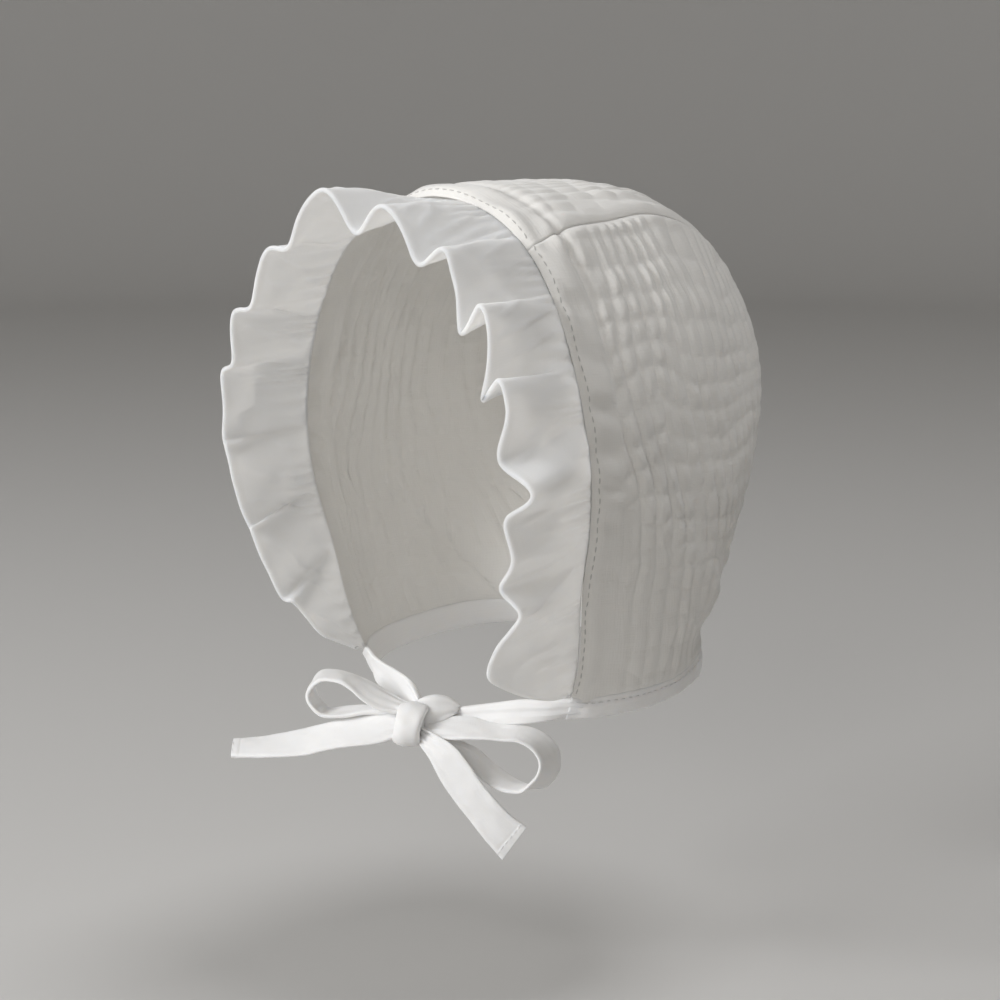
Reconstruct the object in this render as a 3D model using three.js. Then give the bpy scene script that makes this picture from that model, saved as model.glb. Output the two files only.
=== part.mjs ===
import * as THREE from "three";

// A baby bonnet of white double gauze: a centre panel from the brow over the crown to the nape,
// a panel over each ear, a fluted ruffle round the face, a binding along the neck edge, and two
// ties that pass under the chin and end in a bow with two loops and two tails.
// Millimetres, +Z up. The face opening looks towards -Y, and the wearer's left is +X.
// The origin is the inside of the crown's top, where the bonnet sits on a head.

// Hood
const HOOD_WIDTH = 137;
const CROWN_RISE = 100;
const BACK_REACH = 82;
const CLOTH_WALL = 1.2;
const PIECE_GAP = 0.3;

// Ruffle seam: how far it lies in front of the ears
const SEAM_REACH_TOP = 37;
const SEAM_REACH_EAR = 34.5;
const SEAM_REACH_CORNER = 24.5;

// Neck edge: how far its lower rim lies below the ears
const CORNER_DROP = 63.5;
const NAPE_DROP = 55.5;
// Shares of BACK_REACH: the nape's rim, and the line that the neck edge is drawn round
const NAPE_SHARE = 0.66;
const NECK_CENTRE_SHARE = 0.18;
const BINDING_DEPTH = 7.5;
const BINDING_WALL = 2.2;

// Centre panel
const PANEL_WIDTH_BROW = 78;
const PANEL_WIDTH_NAPE = 48;
// Degrees on the outline, upwards from the back, where the panel has those widths
const PANEL_BROW_ANGLE = 115;
const PANEL_NAPE_ANGLE = -45;

// Ruffle
const RUFFLE_DEPTH = 36;
const RUFFLE_WALL = 1.4;

// Ties and bow
const TIE_WIDTH = 11;
const TIE_WALL = 1.4;
const TIE_SAG = 1.2;
const TIE_LEAD = 3;
// Shares of the tie's width: where it is folded lengthwise, and where the knot pinches it
const TIE_FOLD = 0.68;
const PINCH = 0.45;
// The share of a loop's limb over which it turns from upright at the knot
const TWIST_SHARE = 0.4;
const KNOT_WIDTH = 11;
const KNOT_HEIGHT = 15;
const KNOT_THICKNESS = 10;
const KNOT_GAP = 0.8;
const KNOT_FORWARD = 26.5;
const KNOT_DROP = 3.5;
const BOW_TURN = 25;
const LEFT_LOOP_REACH = 46;
const RIGHT_LOOP_REACH = 31;
const LEFT_TAIL_REACH = 50;
const RIGHT_TAIL_REACH = 58;

// How square the hood is seen from the front: 2 is an ellipse.
const SQUARENESS = 2.3;

const HALF_WIDTH = HOOD_WIDTH / 2;
const EAR_LEVEL = CLOTH_WALL - CROWN_RISE;

// The hood's middle line seen from the side, about the ears: shares of BACK_REACH and CROWN_RISE.
const OUTLINE = [
  { behind: 0, above: -0.975 },
  { behind: 0.54, above: -0.8 },
  { behind: 0.66, above: -0.59 },
  { behind: 0.632, above: -0.43 },
  { behind: 0.69, above: -0.27 },
  { behind: 0.81, above: -0.1 },
  { behind: 0.94, above: 0.136 },
  { behind: 1, above: 0.46 },
  { behind: 0.875, above: 0.72 },
  { behind: 0.635, above: 0.905 },
  { behind: 0.33, above: 0.995 },
  { behind: 0, above: 1 },
  { behind: -0.317, above: 0.995 },
  { behind: -0.62, above: 0.91 },
  { behind: -0.975, above: 0.46 },
  { behind: -0.83, above: 0 },
  { behind: -0.62, above: -0.295 },
  { behind: -0.44, above: -0.66 },
];

// The ruffle's folds from the wearer's right corner over the brow to the left corner.
// seam and edge say where a fold starts on the seam and where it ends at the free edge, as shares
// of the seam from the brow to a corner. out and depth are shares of RUFFLE_DEPTH: how far the
// free edge stands away from the face there, and how deep the ruffle is.
const FOLDS = [
  { seam: -1, edge: -0.995, out: -0.02, depth: 0.1 },
  { seam: -0.975, edge: -0.974, out: -0.04, depth: 0.32 },
  { seam: -0.945, edge: -0.955, out: -0.04, depth: 0.45 },
  { seam: -0.885, edge: -0.925, out: -0.1, depth: 0.59 },
  { seam: -0.819, edge: -0.893, out: -0.2, depth: 0.78 },
  { seam: -0.792, edge: -0.872, out: -0.06, depth: 0.79 },
  { seam: -0.716, edge: -0.766, out: -0.13, depth: 0.98 },
  { seam: -0.69, edge: -0.742, out: 0, depth: 0.88 },
  { seam: -0.606, edge: -0.618, out: -0.1, depth: 1.03 },
  { seam: -0.58, edge: -0.592, out: 0.03, depth: 0.94 },
  { seam: -0.525, edge: -0.53, out: 0, depth: 0.97 },
  { seam: -0.463, edge: -0.475, out: 0.01, depth: 1 },
  { seam: -0.44, edge: -0.447, out: -0.11, depth: 1 },
  { seam: -0.385, edge: -0.37, out: 0.01, depth: 1 },
  { seam: -0.34, edge: -0.33, out: -0.18, depth: 1 },
  { seam: -0.265, edge: -0.23, out: -0.05, depth: 1 },
  { seam: -0.19, edge: -0.175, out: -0.17, depth: 1 },
  { seam: -0.08, edge: -0.064, out: 0.13, depth: 1 },
  { seam: 0.005, edge: 0.011, out: -0.24, depth: 1 },
  { seam: 0.08, edge: 0.075, out: 0.04, depth: 1 },
  { seam: 0.17, edge: 0.188, out: -0.21, depth: 1 },
  { seam: 0.21, edge: 0.225, out: 0.09, depth: 1 },
  { seam: 0.29, edge: 0.343, out: -0.145, depth: 1 },
  { seam: 0.32, edge: 0.324, out: 0.15, depth: 1 },
  { seam: 0.365, edge: 0.375, out: 0.14, depth: 1 },
  { seam: 0.412, edge: 0.457, out: -0.085, depth: 1 },
  { seam: 0.44, edge: 0.436, out: 0.12, depth: 1 },
  { seam: 0.475, edge: 0.478, out: 0.16, depth: 1 },
  { seam: 0.522, edge: 0.555, out: -0.02, depth: 1 },
  { seam: 0.57, edge: 0.6, out: 0.31, depth: 1 },
  { seam: 0.63, edge: 0.648, out: 0.01, depth: 1 },
  { seam: 0.69, edge: 0.71, out: 0.12, depth: 1 },
  { seam: 0.74, edge: 0.765, out: 0.03, depth: 1 },
  { seam: 0.79, edge: 0.787, out: 0.28, depth: 1 },
  { seam: 0.855, edge: 0.874, out: 0, depth: 1 },
  { seam: 0.915, edge: 0.93, out: -0.07, depth: 1 },
  { seam: 0.955, edge: 0.963, out: 0, depth: 0.72 },
  { seam: 0.982, edge: 0.988, out: 0.02, depth: 0.36 },
  { seam: 1, edge: 0.998, out: 0, depth: 0.12 },
];

// The bow's ribbons, seen from in front of the bow: along and up lie in its plane, towards the
// wearer's left and upwards, and out comes forward. They are shares of the ribbon's own reach.
// width is a share of TIE_WIDTH.
const LEFT_LOOP = [
  { along: 0.3, up: -0.03, out: 0.06, width: 0.75 },
  { along: 0.52, up: -0.04, out: 0.08, width: 0.9 },
  { along: 0.78, up: -0.05, out: 0.06, width: 1 },
  { along: 0.95, up: -0.13, out: 0.02, width: 1 },
  { along: 1, up: -0.25, out: -0.02, width: 1 },
  { along: 0.92, up: -0.38, out: -0.06, width: 1 },
  { along: 0.73, up: -0.41, out: -0.09, width: 1 },
  { along: 0.53, up: -0.31, out: -0.1, width: 0.9 },
  { along: 0.32, up: -0.17, out: -0.08, width: 0.7 },
];
const RIGHT_LOOP = [
  { along: -0.3, up: 0.22, out: 0.06, width: 0.8 },
  { along: -0.5, up: 0.34, out: 0.08, width: 1 },
  { along: -0.73, up: 0.41, out: 0.07, width: 1 },
  { along: -0.94, up: 0.33, out: 0.03, width: 1 },
  { along: -1, up: 0.18, out: -0.02, width: 1 },
  { along: -0.9, up: 0.05, out: -0.07, width: 1 },
  { along: -0.63, up: 0.03, out: -0.1, width: 0.95 },
  { along: -0.35, up: 0.07, out: -0.08, width: 0.7 },
];
const LEFT_TAIL = [
  { along: 0.2, up: -0.24, out: 0.1, width: 0.8 },
  { along: 0.32, up: -0.35, out: 0.13, width: 0.95 },
  { along: 0.48, up: -0.5, out: 0.14, width: 1 },
  { along: 0.6, up: -0.63, out: 0.13, width: 1 },
  { along: 0.71, up: -0.76, out: 0.1, width: 1 },
];
const RIGHT_TAIL = [
  { along: -0.18, up: -0.045, out: 0.08, width: 0.8 },
  { along: -0.31, up: -0.07, out: 0.1, width: 0.95 },
  { along: -0.58, up: -0.13, out: 0.12, width: 1 },
  { along: -0.74, up: -0.168, out: 0.12, width: 1 },
  { along: -1, up: -0.205, out: 0.1, width: 1 },
];

// across says which way a ribbon's width runs, and exits where it leaves and enters the knot, in
// the bow's own axes: along, up, out.
const BOW = {
  bow_loop_left: {
    rows: LEFT_LOOP,
    reach: LEFT_LOOP_REACH,
    across: [0.5, 0.52, 0.69],
    exits: [[1, -0.1, 0.7], [0.9, -0.9, -0.2]],
    steps: 30,
  },
  bow_loop_right: {
    rows: RIGHT_LOOP,
    reach: RIGHT_LOOP_REACH,
    across: [-0.45, 0.5, 0.74],
    exits: [[-1, 0.85, 0.3], [-1, 0.35, -0.5]],
    steps: 26,
  },
  bow_tail_left: {
    rows: LEFT_TAIL,
    reach: LEFT_TAIL_REACH,
    across: [0.76, 0.62, 0.2],
    exits: [[0.4, -1, 0.3]],
    steps: 12,
  },
  bow_tail_right: {
    rows: RIGHT_TAIL,
    reach: RIGHT_TAIL_REACH,
    across: [-0.12, 0.92, 0.38],
    exits: [[-1, -0.25, 0.5]],
    steps: 12,
  },
};
const LEFT_TIE_EXIT = [1, 0.45, -0.35];
const RIGHT_TIE_EXIT = [-0.5, 0.6, -0.8];
const TIE_ACROSS = [0, 0.9, 0.4];

// Facets
const SEARCH_STEPS = 44;
const PROBE = 0.05;
const FOLD_PROBE = 0.12;
const SEAM_SAMPLES = 240;
const PANEL_ROWS = 26;
const PANEL_COLUMNS = 8;
const FRONT_SPOKES = 16;
const NECK_SPOKES = 20;
const RINGS = [0, 0.38, 0.62, 0.79, 0.91, 1];
const STEPS_PER_FOLD = 4;
const RUFFLE_ROWS = 4;
const BINDING_COLUMNS = 48;
const TIE_STEPS = 14;
const KNOT_SEGMENTS = 20;
const KNOT_RINGS = 12;

// The value between low and high at which test stops holding.
function lastHolding(test, low, high) {
  for (let step = 0; step < SEARCH_STEPS; step += 1) {
    const middle = (low + high) / 2;
    if (test(middle)) {
      low = middle;
    } else {
      high = middle;
    }
  }
  return low;
}

const TURN = 2 * Math.PI;
const fromBelow = (angle) => (angle + Math.PI / 2 + TURN) % TURN;
const outlineKnots = OUTLINE.map(({ behind, above }) => ({
  angle: fromBelow(Math.atan2(above, behind)),
  reach: Math.hypot(behind, above),
})).sort((a, b) => a.angle - b.angle);

// The outline's reach from the ears at an angle from the back, upwards, through every row.
function outlineReach(angle) {
  const count = outlineKnots.length;
  const place = fromBelow(angle);
  const above = outlineKnots.findIndex((knot) => knot.angle > place);
  const index = above < 0 ? count - 1 : above - 1;
  const knot = (offset) => {
    const at = index + offset;
    const row = outlineKnots[(at + count) % count];
    return { angle: row.angle + TURN * Math.floor(at / count), reach: row.reach };
  };
  const [k0, k1, k2, k3] = [-1, 0, 1, 2].map(knot);
  const span = k2.angle - k1.angle;
  const t = (place - k1.angle) / span;
  const slope1 = ((k2.reach - k0.reach) / (k2.angle - k0.angle)) * span;
  const slope2 = ((k3.reach - k1.reach) / (k3.angle - k1.angle)) * span;
  const bend = 2 * (k1.reach - k2.reach) + slope1 + slope2;
  const lean = 3 * (k2.reach - k1.reach) - 2 * slope1 - slope2;
  return ((bend * t + lean) * t + slope1) * t + k1.reach;
}

// How far the side view shrinks towards the ears at a distance from the middle.
function shrinkAt(x) {
  const share = Math.abs(x) / HALF_WIDTH;
  return Math.max(0, 1 - share ** SQUARENESS) ** (1 / SQUARENESS);
}

// Heights inside these functions are measured from the ears.
function hoodPoint(angle, x) {
  const reach = outlineReach(angle) * shrinkAt(x);
  const y = reach * Math.cos(angle) * BACK_REACH;
  const z = reach * Math.sin(angle) * CROWN_RISE;
  return new THREE.Vector3(x, y, z);
}

// Below 0 inside the hood, 0 on its outer face, above 0 outside.
function hoodField({ x, y, z }) {
  const angle = Math.atan2(z / CROWN_RISE, y / BACK_REACH);
  const share = Math.hypot(y / BACK_REACH, z / CROWN_RISE) / outlineReach(angle);
  return (Math.abs(x) / HALF_WIDTH) ** SQUARENESS + share ** SQUARENESS - 1;
}

function hoodNormal(point) {
  const slope = ["x", "y", "z"].map((axis) => {
    const ahead = point.clone();
    const behind = point.clone();
    ahead[axis] += PROBE;
    behind[axis] -= PROBE;
    return hoodField(ahead) - hoodField(behind);
  });
  return new THREE.Vector3(...slope).normalize();
}

// The front line of the panels, as a smooth curve through its reach at three heights.
const SEAM_LINE = [
  { height: CROWN_RISE, reach: SEAM_REACH_TOP },
  { height: 0, reach: SEAM_REACH_EAR },
  { height: -CORNER_DROP, reach: SEAM_REACH_CORNER },
];
function seamReach(z) {
  return SEAM_LINE.reduce((total, { height, reach }) => {
    const others = SEAM_LINE.filter((row) => row.height !== height);
    const weights = others.map((row) => (z - row.height) / (height - row.height));
    return total + reach * weights[0] * weights[1];
  }, 0);
}

// The lower rim of the neck edge, straight from the corners to the nape.
function neckLevel(y) {
  const share = (y + SEAM_REACH_CORNER) / (NAPE_SHARE * BACK_REACH + SEAM_REACH_CORNER);
  return -THREE.MathUtils.lerp(CORNER_DROP, NAPE_DROP, share);
}

const panelBottom = (y) => neckLevel(y) + BINDING_DEPTH + PIECE_GAP;

function panelHalfWidth(angle) {
  const brow = THREE.MathUtils.degToRad(PANEL_BROW_ANGLE);
  const nape = THREE.MathUtils.degToRad(PANEL_NAPE_ANGLE);
  const share = THREE.MathUtils.clamp((brow - angle) / (brow - nape), 0, 1);
  return THREE.MathUtils.lerp(PANEL_WIDTH_BROW, PANEL_WIDTH_NAPE, share) / 2;
}

// A closed shell between two grids of points, with a rim along each open edge.
// A closed ring of columns has wrap set, and equal points are joined.
function shell(outer, inner, wrap = false) {
  const positions = [];
  const known = new Map();
  const indexOf = (point) => {
    const place = point.toArray();
    const key = place.map((value) => value.toFixed(3)).join();
    if (!known.has(key)) {
      known.set(key, positions.length / 3);
      positions.push(...place);
    }
    return known.get(key);
  };
  const triangles = [];
  const triangle = (a, b, c) => {
    if (a !== b && b !== c && c !== a) {
      triangles.push(a, b, c);
    }
  };
  const quad = (a, b, c, d) => {
    triangle(a, b, c);
    triangle(a, c, d);
  };
  const out = outer.map((row) => row.map(indexOf));
  const into = inner.map((row) => row.map(indexOf));
  const lastRow = out.length - 1;
  const lastColumn = out[0].length - 1;
  const columns = wrap ? lastColumn + 1 : lastColumn;
  const next = (column) => (column + 1) % (lastColumn + 1);
  for (let row = 0; row < lastRow; row += 1) {
    for (let column = 0; column < columns; column += 1) {
      const after = next(column);
      quad(out[row][column], out[row][after], out[row + 1][after], out[row + 1][column]);
      quad(into[row][column], into[row + 1][column], into[row + 1][after], into[row][after]);
    }
    if (!wrap) {
      quad(out[row][0], out[row + 1][0], into[row + 1][0], into[row][0]);
      quad(into[row][lastColumn], into[row + 1][lastColumn], out[row + 1][lastColumn], out[row][lastColumn]);
    }
  }
  for (let column = 0; column < columns; column += 1) {
    const after = next(column);
    quad(into[0][column], into[0][after], out[0][after], out[0][column]);
    quad(out[lastRow][column], out[lastRow][after], into[lastRow][after], into[lastRow][column]);
  }
  const geometry = new THREE.BufferGeometry();
  geometry.setAttribute("position", new THREE.Float32BufferAttribute(positions, 3));
  geometry.setIndex(facingOut(positions, triangles));
  geometry.computeVertexNormals();
  return geometry;
}

function facingOut(positions, triangles) {
  const corner = (index) => new THREE.Vector3().fromArray(positions, 3 * index);
  let volume = 0;
  for (let at = 0; at < triangles.length; at += 3) {
    const [a, b, c] = triangles.slice(at, at + 3).map(corner);
    volume += a.dot(b.cross(c));
  }
  return volume < 0 ? triangles.reverse() : triangles;
}

// Moves a grid of points on the hood along its normals. rimAxes names the axes across which the
// rim at a row and column is cut straight, so that it meets its neighbour face to face.
function offsetGrid(grid, distance, rimAxes = () => "") {
  return grid.map((line, row) =>
    line.map((point, column) => {
      const normal = hoodNormal(point);
      for (const axis of rimAxes(row, column)) {
        normal[axis] = 0;
      }
      return point.clone().addScaledVector(normal.normalize(), distance);
    }),
  );
}

// The angles on the middle line between which a line at a share of the panel's width is cloth.
function centreSpan(share, clearance) {
  const at = (angle) => hoodPoint(angle, share * (panelHalfWidth(angle) + clearance));
  const behindSeam = (angle) => at(angle).y > -seamReach(at(angle).z);
  const overNeck = (angle) => at(angle).z > panelBottom(at(angle).y);
  const brow = lastHolding(behindSeam, Math.PI / 2, 0.8 * Math.PI);
  const nape = -lastHolding((angle) => overNeck(-angle), 0, 0.4 * Math.PI);
  return { brow, nape };
}

function centrePanel() {
  const outer = [];
  for (let row = 0; row <= PANEL_ROWS; row += 1) {
    const line = [];
    for (let column = 0; column <= PANEL_COLUMNS; column += 1) {
      const share = (2 * column) / PANEL_COLUMNS - 1;
      const { brow, nape } = centreSpan(share, -PIECE_GAP / 2);
      const angle = THREE.MathUtils.lerp(brow, nape, row / PANEL_ROWS);
      line.push(hoodPoint(angle, share * (panelHalfWidth(angle) - PIECE_GAP / 2)));
    }
    outer.push(line);
  }
  const rimAxes = (row) => (row === 0 ? "y" : row === PANEL_ROWS ? "z" : "");
  return shell(outer, offsetGrid(outer, -CLOTH_WALL, rimAxes));
}

// A panel over one ear: spokes from the ear out to the front seam, the crown seam and the neck.
function sidePanel(side) {
  const clearance = PIECE_GAP / 2;
  const { brow, nape } = centreSpan(1, clearance);
  const onFace = (angle, reach) => {
    const y = reach * Math.cos(angle) * BACK_REACH;
    const z = reach * Math.sin(angle) * CROWN_RISE;
    return y > -seamReach(z) && z > panelBottom(y);
  };
  const cornerY = lastHolding((y) => seamReach(panelBottom(-y)) > y, 0, 2 * SEAM_REACH_CORNER);
  const cornerAngle = Math.atan2(panelBottom(-cornerY) / CROWN_RISE, -cornerY / BACK_REACH);
  const corner = cornerAngle + TURN;
  const spokes = [];
  for (let step = 0; step < PANEL_ROWS; step += 1) {
    const angle = THREE.MathUtils.lerp(nape, brow, step / PANEL_ROWS);
    const x = panelHalfWidth(angle) + clearance;
    spokes.push({ angle, reach: outlineReach(angle) * shrinkAt(x) });
  }
  const addSector = (from, to, count) => {
    for (let step = 0; step < count; step += 1) {
      const angle = THREE.MathUtils.lerp(from, to, step / count);
      const limit = outlineReach(angle) * shrinkAt(panelHalfWidth(nape) + clearance);
      spokes.push({ angle, reach: lastHolding((reach) => onFace(angle, reach), 0, limit) });
    }
  };
  addSector(brow, corner, FRONT_SPOKES);
  addSector(corner, nape + TURN, NECK_SPOKES);
  const browX = panelHalfWidth(brow) + clearance;
  spokes[PANEL_ROWS].reach = outlineReach(brow) * shrinkAt(browX);
  const outer = RINGS.map((ring) =>
    spokes.map(({ angle, reach }) => {
      const share = (ring * reach) / outlineReach(angle);
      const x = HALF_WIDTH * Math.max(0, 1 - share ** SQUARENESS) ** (1 / SQUARENESS);
      const y = ring * reach * Math.cos(angle) * BACK_REACH;
      const z = ring * reach * Math.sin(angle) * CROWN_RISE;
      return new THREE.Vector3(side * x, y, z);
    }),
  );
  const neckFrom = PANEL_ROWS + FRONT_SPOKES;
  const rimAxes = (ring, spoke) => {
    const onRim = ring === RINGS.length - 1;
    const front = onRim && spoke >= PANEL_ROWS && spoke <= neckFrom;
    const neck = onRim && (spoke >= neckFrom || spoke === 0);
    return (front ? "y" : "") + (neck ? "z" : "");
  };
  return shell(outer, offsetGrid(outer, -CLOTH_WALL, rimAxes), true);
}

// The seam that carries the ruffle, from the brow down to the binding on the wearer's left.
function seamLine() {
  const at = (angle, radius) => {
    const z = radius * Math.cos(angle);
    return new THREE.Vector3(radius * Math.sin(angle), -seamReach(z) - PIECE_GAP, z);
  };
  const point = (angle) => {
    const inside = (radius) => hoodField(at(angle, radius)) < 0;
    return at(angle, lastHolding(inside, 0, 2 * CROWN_RISE));
  };
  const overBinding = (angle) => point(angle).z > panelBottom(point(angle).y);
  const end = lastHolding(overBinding, Math.PI / 2, Math.PI);
  const points = Array.from({ length: SEAM_SAMPLES + 1 }, (_, step) => point((end * step) / SEAM_SAMPLES));
  return new THREE.CatmullRomCurve3(points);
}

const seam = seamLine();
seam.arcLengthDivisions = SEAM_SAMPLES;

function seamPoint(share) {
  const point = seam.getPointAt(Math.min(1, Math.abs(share)));
  point.x *= Math.sign(share) || 1;
  return point;
}

// Away from the face, square to the seam and level with the ruffle's own plane.
function seamOutward(share) {
  const normal = hoodNormal(seamPoint(share));
  normal.y = 0;
  return normal.normalize();
}

// A smooth value between the fold rows, at a place counted in rows.
function foldValue(place, column) {
  const index = Math.min(FOLDS.length - 2, Math.floor(place));
  const row = (at) => FOLDS[THREE.MathUtils.clamp(at, 0, FOLDS.length - 1)][column];
  const [v0, v1, v2, v3] = [-1, 0, 1, 2].map((offset) => row(index + offset));
  const t = place - index;
  const slope1 = (v2 - v0) / 2;
  const slope2 = (v3 - v1) / 2;
  const bend = 2 * (v1 - v2) + slope1 + slope2;
  const lean = 3 * (v2 - v1) - 2 * slope1 - slope2;
  return ((bend * t + lean) * t + slope1) * t + v1;
}

// A point of the ruffle's middle sheet: share runs from the seam, 0, to the free edge, 1.
function rufflePoint(place, share) {
  const onSeam = foldValue(place, "seam");
  const onEdge = foldValue(place, "edge");
  const across = THREE.MathUtils.lerp(onSeam, onEdge, share);
  const point = seamPoint(across);
  const outward = seamOutward(across);
  const away = foldValue(place, "out") * RUFFLE_DEPTH * share - CLOTH_WALL / 2;
  point.addScaledVector(outward, away);
  point.y -= foldValue(place, "depth") * RUFFLE_DEPTH * share;
  return point;
}

function ruffle() {
  const columns = (FOLDS.length - 1) * STEPS_PER_FOLD;
  const outer = [];
  const inner = [];
  for (let row = 0; row <= RUFFLE_ROWS; row += 1) {
    const share = row / RUFFLE_ROWS;
    const outerLine = [];
    const innerLine = [];
    for (let column = 0; column <= columns; column += 1) {
      const place = column / STEPS_PER_FOLD;
      const normal = share > 0 ? ruffleNormal(place, share) : seamOutward(foldValue(place, "seam"));
      const point = rufflePoint(place, share);
      outerLine.push(point.clone().addScaledVector(normal, RUFFLE_WALL / 2));
      innerLine.push(point.clone().addScaledVector(normal, -RUFFLE_WALL / 2));
    }
    outer.push(outerLine);
    inner.push(innerLine);
  }
  return shell(outer, inner);
}

function ruffleNormal(place, share) {
  const last = FOLDS.length - 1;
  const after = rufflePoint(Math.min(last, place + FOLD_PROBE), share);
  const before = rufflePoint(Math.max(0, place - FOLD_PROBE), share);
  const front = rufflePoint(place, Math.min(1, share + FOLD_PROBE));
  const back = rufflePoint(place, Math.max(0, share - FOLD_PROBE));
  return front.sub(back).cross(after.sub(before)).normalize();
}

// The binding's outer face, from the wearer's left corner round the nape to the right corner.
function neckPoint(turn, lift) {
  const at = (radius) => {
    const y = NECK_CENTRE_SHARE * BACK_REACH + radius * Math.cos(turn);
    return new THREE.Vector3(radius * Math.sin(turn), y, neckLevel(y) + lift);
  };
  return at(lastHolding((radius) => hoodField(at(radius)) < 0, 0, 2 * BACK_REACH));
}

function neckEnd(lift) {
  const behindSeam = (turn) => neckPoint(turn, lift).y > -seamReach(neckPoint(turn, lift).z);
  return lastHolding(behindSeam, Math.PI / 2, Math.PI);
}

function neckBinding() {
  const middle = [0, 0.5, 1].map((share) => {
    const lift = share * BINDING_DEPTH;
    const end = neckEnd(lift);
    const turns = Array.from({ length: BINDING_COLUMNS + 1 }, (_, column) => 1 - (2 * column) / BINDING_COLUMNS);
    return turns.map((turn) => neckPoint(turn * end, lift));
  });
  const proud = (BINDING_WALL - CLOTH_WALL) / 2;
  const rimAxes = (row, column) => {
    const end = column === 0 || column === BINDING_COLUMNS;
    return (end ? "y" : "") + (row === middle.length - 1 ? "z" : "");
  };
  return shell(offsetGrid(middle, proud, rimAxes), offsetGrid(middle, -CLOTH_WALL - proud, rimAxes));
}

// A value from a list at a share of its length, straight between entries.
function valueAt(values, share) {
  const place = share * (values.length - 1);
  const index = Math.min(values.length - 2, Math.floor(place));
  return THREE.MathUtils.lerp(values[index], values[index + 1], place - index);
}

// A flat ribbon through a row of points: across gives the way its width runs, widths its width.
function ribbon(points, steps, across, widths) {
  const curve = new THREE.CatmullRomCurve3(points);
  const face = (offset) =>
    [-0.5, 0.5].map((side) =>
      Array.from({ length: steps + 1 }, (_, step) => {
        const share = step / steps;
        const point = curve.getPoint(share);
        const tangent = curve.getTangent(share);
        const sideways = across(share).clone();
        sideways.addScaledVector(tangent, -sideways.dot(tangent)).normalize();
        point.addScaledVector(sideways, side * valueAt(widths, share));
        return point.addScaledVector(tangent.cross(sideways), offset);
      }),
    );
  return shell(face(TIE_WALL / 2), face(-TIE_WALL / 2));
}

// The bow's own axes and the middle of its knot.
const turnBow = (x, y, z) =>
  new THREE.Vector3(x, y, z).applyAxisAngle(new THREE.Vector3(0, 0, 1), THREE.MathUtils.degToRad(BOW_TURN));
const bowAxes = [turnBow(1, 0, 0), turnBow(0, 0, 1), turnBow(0, -1, 0)];
const knotCentre = new THREE.Vector3(0, -SEAM_REACH_CORNER - KNOT_FORWARD, -CORNER_DROP - KNOT_DROP);

function bowVector(parts) {
  const vector = new THREE.Vector3();
  parts.forEach((part, axis) => vector.addScaledVector(bowAxes[axis], part));
  return vector;
}

// Where a ribbon leaves the knot in a direction, a gap clear of the knot's face.
function knotExit(direction) {
  const halves = [KNOT_WIDTH / 2, KNOT_HEIGHT / 2, KNOT_THICKNESS / 2];
  const length = Math.hypot(...direction);
  const reach = length / Math.hypot(...direction.map((part, axis) => part / halves[axis])) + KNOT_GAP;
  return knotCentre.clone().addScaledVector(bowVector(direction), reach / length);
}

function knot() {
  const geometry = new THREE.SphereGeometry(0.5, KNOT_SEGMENTS, KNOT_RINGS);
  geometry.rotateX(Math.PI / 2);
  geometry.scale(KNOT_WIDTH, KNOT_THICKNESS, KNOT_HEIGHT);
  geometry.rotateZ(THREE.MathUtils.degToRad(BOW_TURN));
  geometry.translate(...knotCentre.toArray());
  return geometry;
}

// A tie from the binding's front end to the knot. It is folded lengthwise to a share of its width.
function tie(side, exit) {
  const rims = [0, BINDING_DEPTH].map((lift) => {
    const rim = neckPoint(neckEnd(lift), lift);
    rim.addScaledVector(hoodNormal(rim), -CLOTH_WALL / 2);
    rim.x *= side;
    return rim;
  });
  const height = rims[1].clone().sub(rims[0]);
  const start = rims[0].clone().lerp(rims[1], 0.5);
  start.y = Math.min(rims[0].y, rims[1].y) - 2 * PIECE_GAP;
  const lead = start.clone();
  lead.y -= TIE_LEAD;
  const end = knotExit(exit);
  const middle = lead.clone().lerp(end, 0.5);
  middle.z -= TIE_SAG;
  const widths = [BINDING_DEPTH - 2 * PIECE_GAP, TIE_FOLD * TIE_WIDTH, TIE_FOLD * TIE_WIDTH, PINCH * TIE_WIDTH];
  const knotAcross = bowVector(TIE_ACROSS);
  const across = (share) => height.clone().normalize().lerp(knotAcross, share);
  return ribbon([start, lead, middle, end], TIE_STEPS, across, widths);
}

// A loop or a tail of the bow through its table, from the knot and, for a loop, back to it.
function bowRibbon({ rows, reach, across, exits, steps }) {
  const points = rows.map(({ along: a, up, out }) =>
    knotCentre.clone().addScaledVector(bowVector([a, up, out]), reach),
  );
  const widths = rows.map(({ width }) => width * TIE_WIDTH);
  const [leaving, entering] = exits;
  points.unshift(knotExit(leaving));
  widths.unshift(PINCH * TIE_WIDTH);
  if (!entering) {
    return ribbon(points, steps, () => bowVector(across), widths);
  }
  points.push(knotExit(entering));
  widths.push(PINCH * TIE_WIDTH);
  const sideways = (share) => {
    const fromKnot = Math.min(1, (2 * Math.min(share, 1 - share)) / TWIST_SHARE);
    return bowVector([0, 1, 0]).lerp(bowVector(across), fromKnot);
  };
  return ribbon(points, steps, sideways, widths);
}

const cotton = new THREE.MeshStandardMaterial({ color: 0xf3f1ee, roughness: 0.95, metalness: 0 });
const bonnet = new THREE.Group();
const fromEars = new THREE.Group();
fromEars.position.z = EAR_LEVEL;
bonnet.add(fromEars);

function addPiece(name, geometry) {
  const mesh = new THREE.Mesh(geometry, cotton.clone());
  mesh.name = name;
  fromEars.add(mesh);
}

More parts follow.
